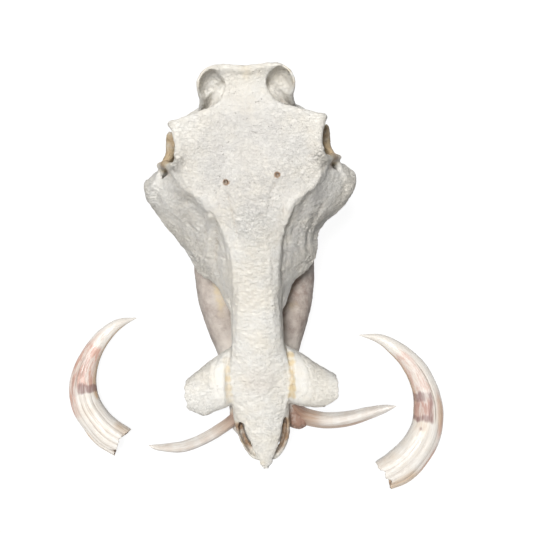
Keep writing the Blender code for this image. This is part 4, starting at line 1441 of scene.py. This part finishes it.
def makeCheekTooth(jaw, which, side, material):
    row = cheekTeeth[jaw]
    middle, halfLength, halfWidth, columns = row["rows"][which]
    radius = min(halfLength / columns * 1.18, halfWidth * 0.5)
    xs = np.linspace(-1, 1, 3) * (halfWidth - radius)
    ys = np.linspace(-1, 1, columns) * (halfLength - radius)
    level = (row["root"] + row["crown"]) / 2
    height = abs(row["crown"] - row["root"])
    spots = [(side * row["x"] + x, middle + y, level) for x in xs for y in ys]
    word = "left" if side > 0 else "right"
    node = f"{jaw}_{which}_{word}"
    mesh = bpy.data.meshes.new(node)
    mesh.from_pydata([tuple(point) for point in toFrame(spots)], [], [])
    values = {"Radius": radius * mm, "Height": height * mm, "Finish": material}
    thing = runTree(newObject(node, mesh), toothColumns, values)
    places = pointsOf(thing)
    away = 1 if jaw == "lower" else -1
    tip = ease(away * (places[:, 2] / mm - level), height * 0.35, height * 0.5)
    places[:, 2] -= away * tip * np.abs(cloud(places / mm, 2.2, 51, 1)) * 1.2 * mm
    placePoints(thing, places)
    finish(thing, f"{jaw}{which.title()}{word.title()}", material, node)


for side in (-1, 1):
    for jaw, row in cheekTeeth.items():
        for which in row["rows"]:
            makeCheekTooth(jaw, which, side, enamel)


# Studio: white floor, a key light from behind the head, a weak fill, and the camera straight above

studio = {
    "cameraAt": (0.0, 0.1265, 0.890),
    "turn": 2.63,  # degrees that the skull stands askew in the picture
    "sensor": 36.0,
    "picture": 533,  # pixels across
    "focus": 700,  # focal length, in those pixels
    "shift": 12.2,  # pixels that the skull stands beside the picture's middle
    "floorSize": 12.0,
    "floorWhite": 0.12,
    "floorGlow": 0.93,
    "world": 0.2,  # as a light
    "horizon": 0.9,  # as it is seen behind the floor
    "aim": (0.0, 0.1, 0.1),
    # where each lamp stands, its size and its power
    "lamps": {"keyLight": ((-0.5, 0.7, 3.5), 0.9, 121.0), "fillLight": ((-0.5, -1.2, 1.5), 1.0, 4.0)},
}


def makeFloor():
    bpy.ops.mesh.primitive_plane_add(size=studio["floorSize"], location=(0.0, 0.1, 0.0))
    floor = bpy.context.object
    floor.name = "paleFloor"
    made, shader, _ = newFinish("paleFloor")
    white = studio["floorWhite"]
    values = {"Base Color": (white, white, white, 1.0), "Roughness": 0.9, "Specular IOR Level": 0.1,
              "Emission Color": (1.0, 1.0, 1.0, 1.0), "Emission Strength": studio["floorGlow"]}
    for name, value in values.items():
        shader.inputs[name].default_value = value
    floor.data.materials.append(made)
    floor.visible_diffuse = False  # a white surround, which throws no light up at the bone


def makeLamp(name, place, size, power):
    lamp = bpy.data.lights.new(name, "AREA")
    lamp.shape = "DISK"
    lamp.size = size
    lamp.energy = power
    thing = newObject(name, lamp)
    thing.location = place
    thing.rotation_euler = (Vector(studio["aim"]) - Vector(place)).to_track_quat("-Z", "Y").to_euler()


def makeWorld():
    world = bpy.data.worlds.new("studioAir")
    world.use_nodes = True
    tree = world.node_tree
    air = tree.nodes["Background"]
    air.inputs["Color"].default_value = (1.0, 1.0, 1.0, 1.0)
    seen = addNode(tree, "ShaderNodeLightPath")
    glow = addNode(tree, "ShaderNodeMapRange", {"To Min": studio["world"], "To Max": studio["horizon"]})
    linkAll(tree, [
        (seen.outputs["Is Camera Ray"], glow.inputs["Value"]), (glow.outputs[0], air.inputs["Strength"]),
    ])
    bpy.context.scene.world = world


def makeCamera():
    lens = bpy.data.cameras.new("camera")
    camera = newObject("camera", lens)
    lens.sensor_width = studio["sensor"]
    lens.lens = studio["sensor"] * studio["focus"] / studio["picture"]
    lens.shift_x = studio["shift"] / studio["picture"]
    lens.clip_start = 0.01
    turn = math.radians(studio["turn"])
    right = Vector((math.cos(turn), -math.sin(turn), 0.0))
    up = Vector((math.sin(turn), math.cos(turn), 0.0))
    placed = Matrix((right, up, Vector((0.0, 0.0, 1.0)))).transposed().to_4x4()
    placed.translation = Vector(studio["cameraAt"])
    camera.matrix_world = placed
    bpy.context.scene.camera = camera


makeFloor()
for name, values in studio["lamps"].items():
    makeLamp(name, *values)
makeWorld()
makeCamera()
bpy.context.scene.view_settings.view_transform = "Standard"

print("scene ready")
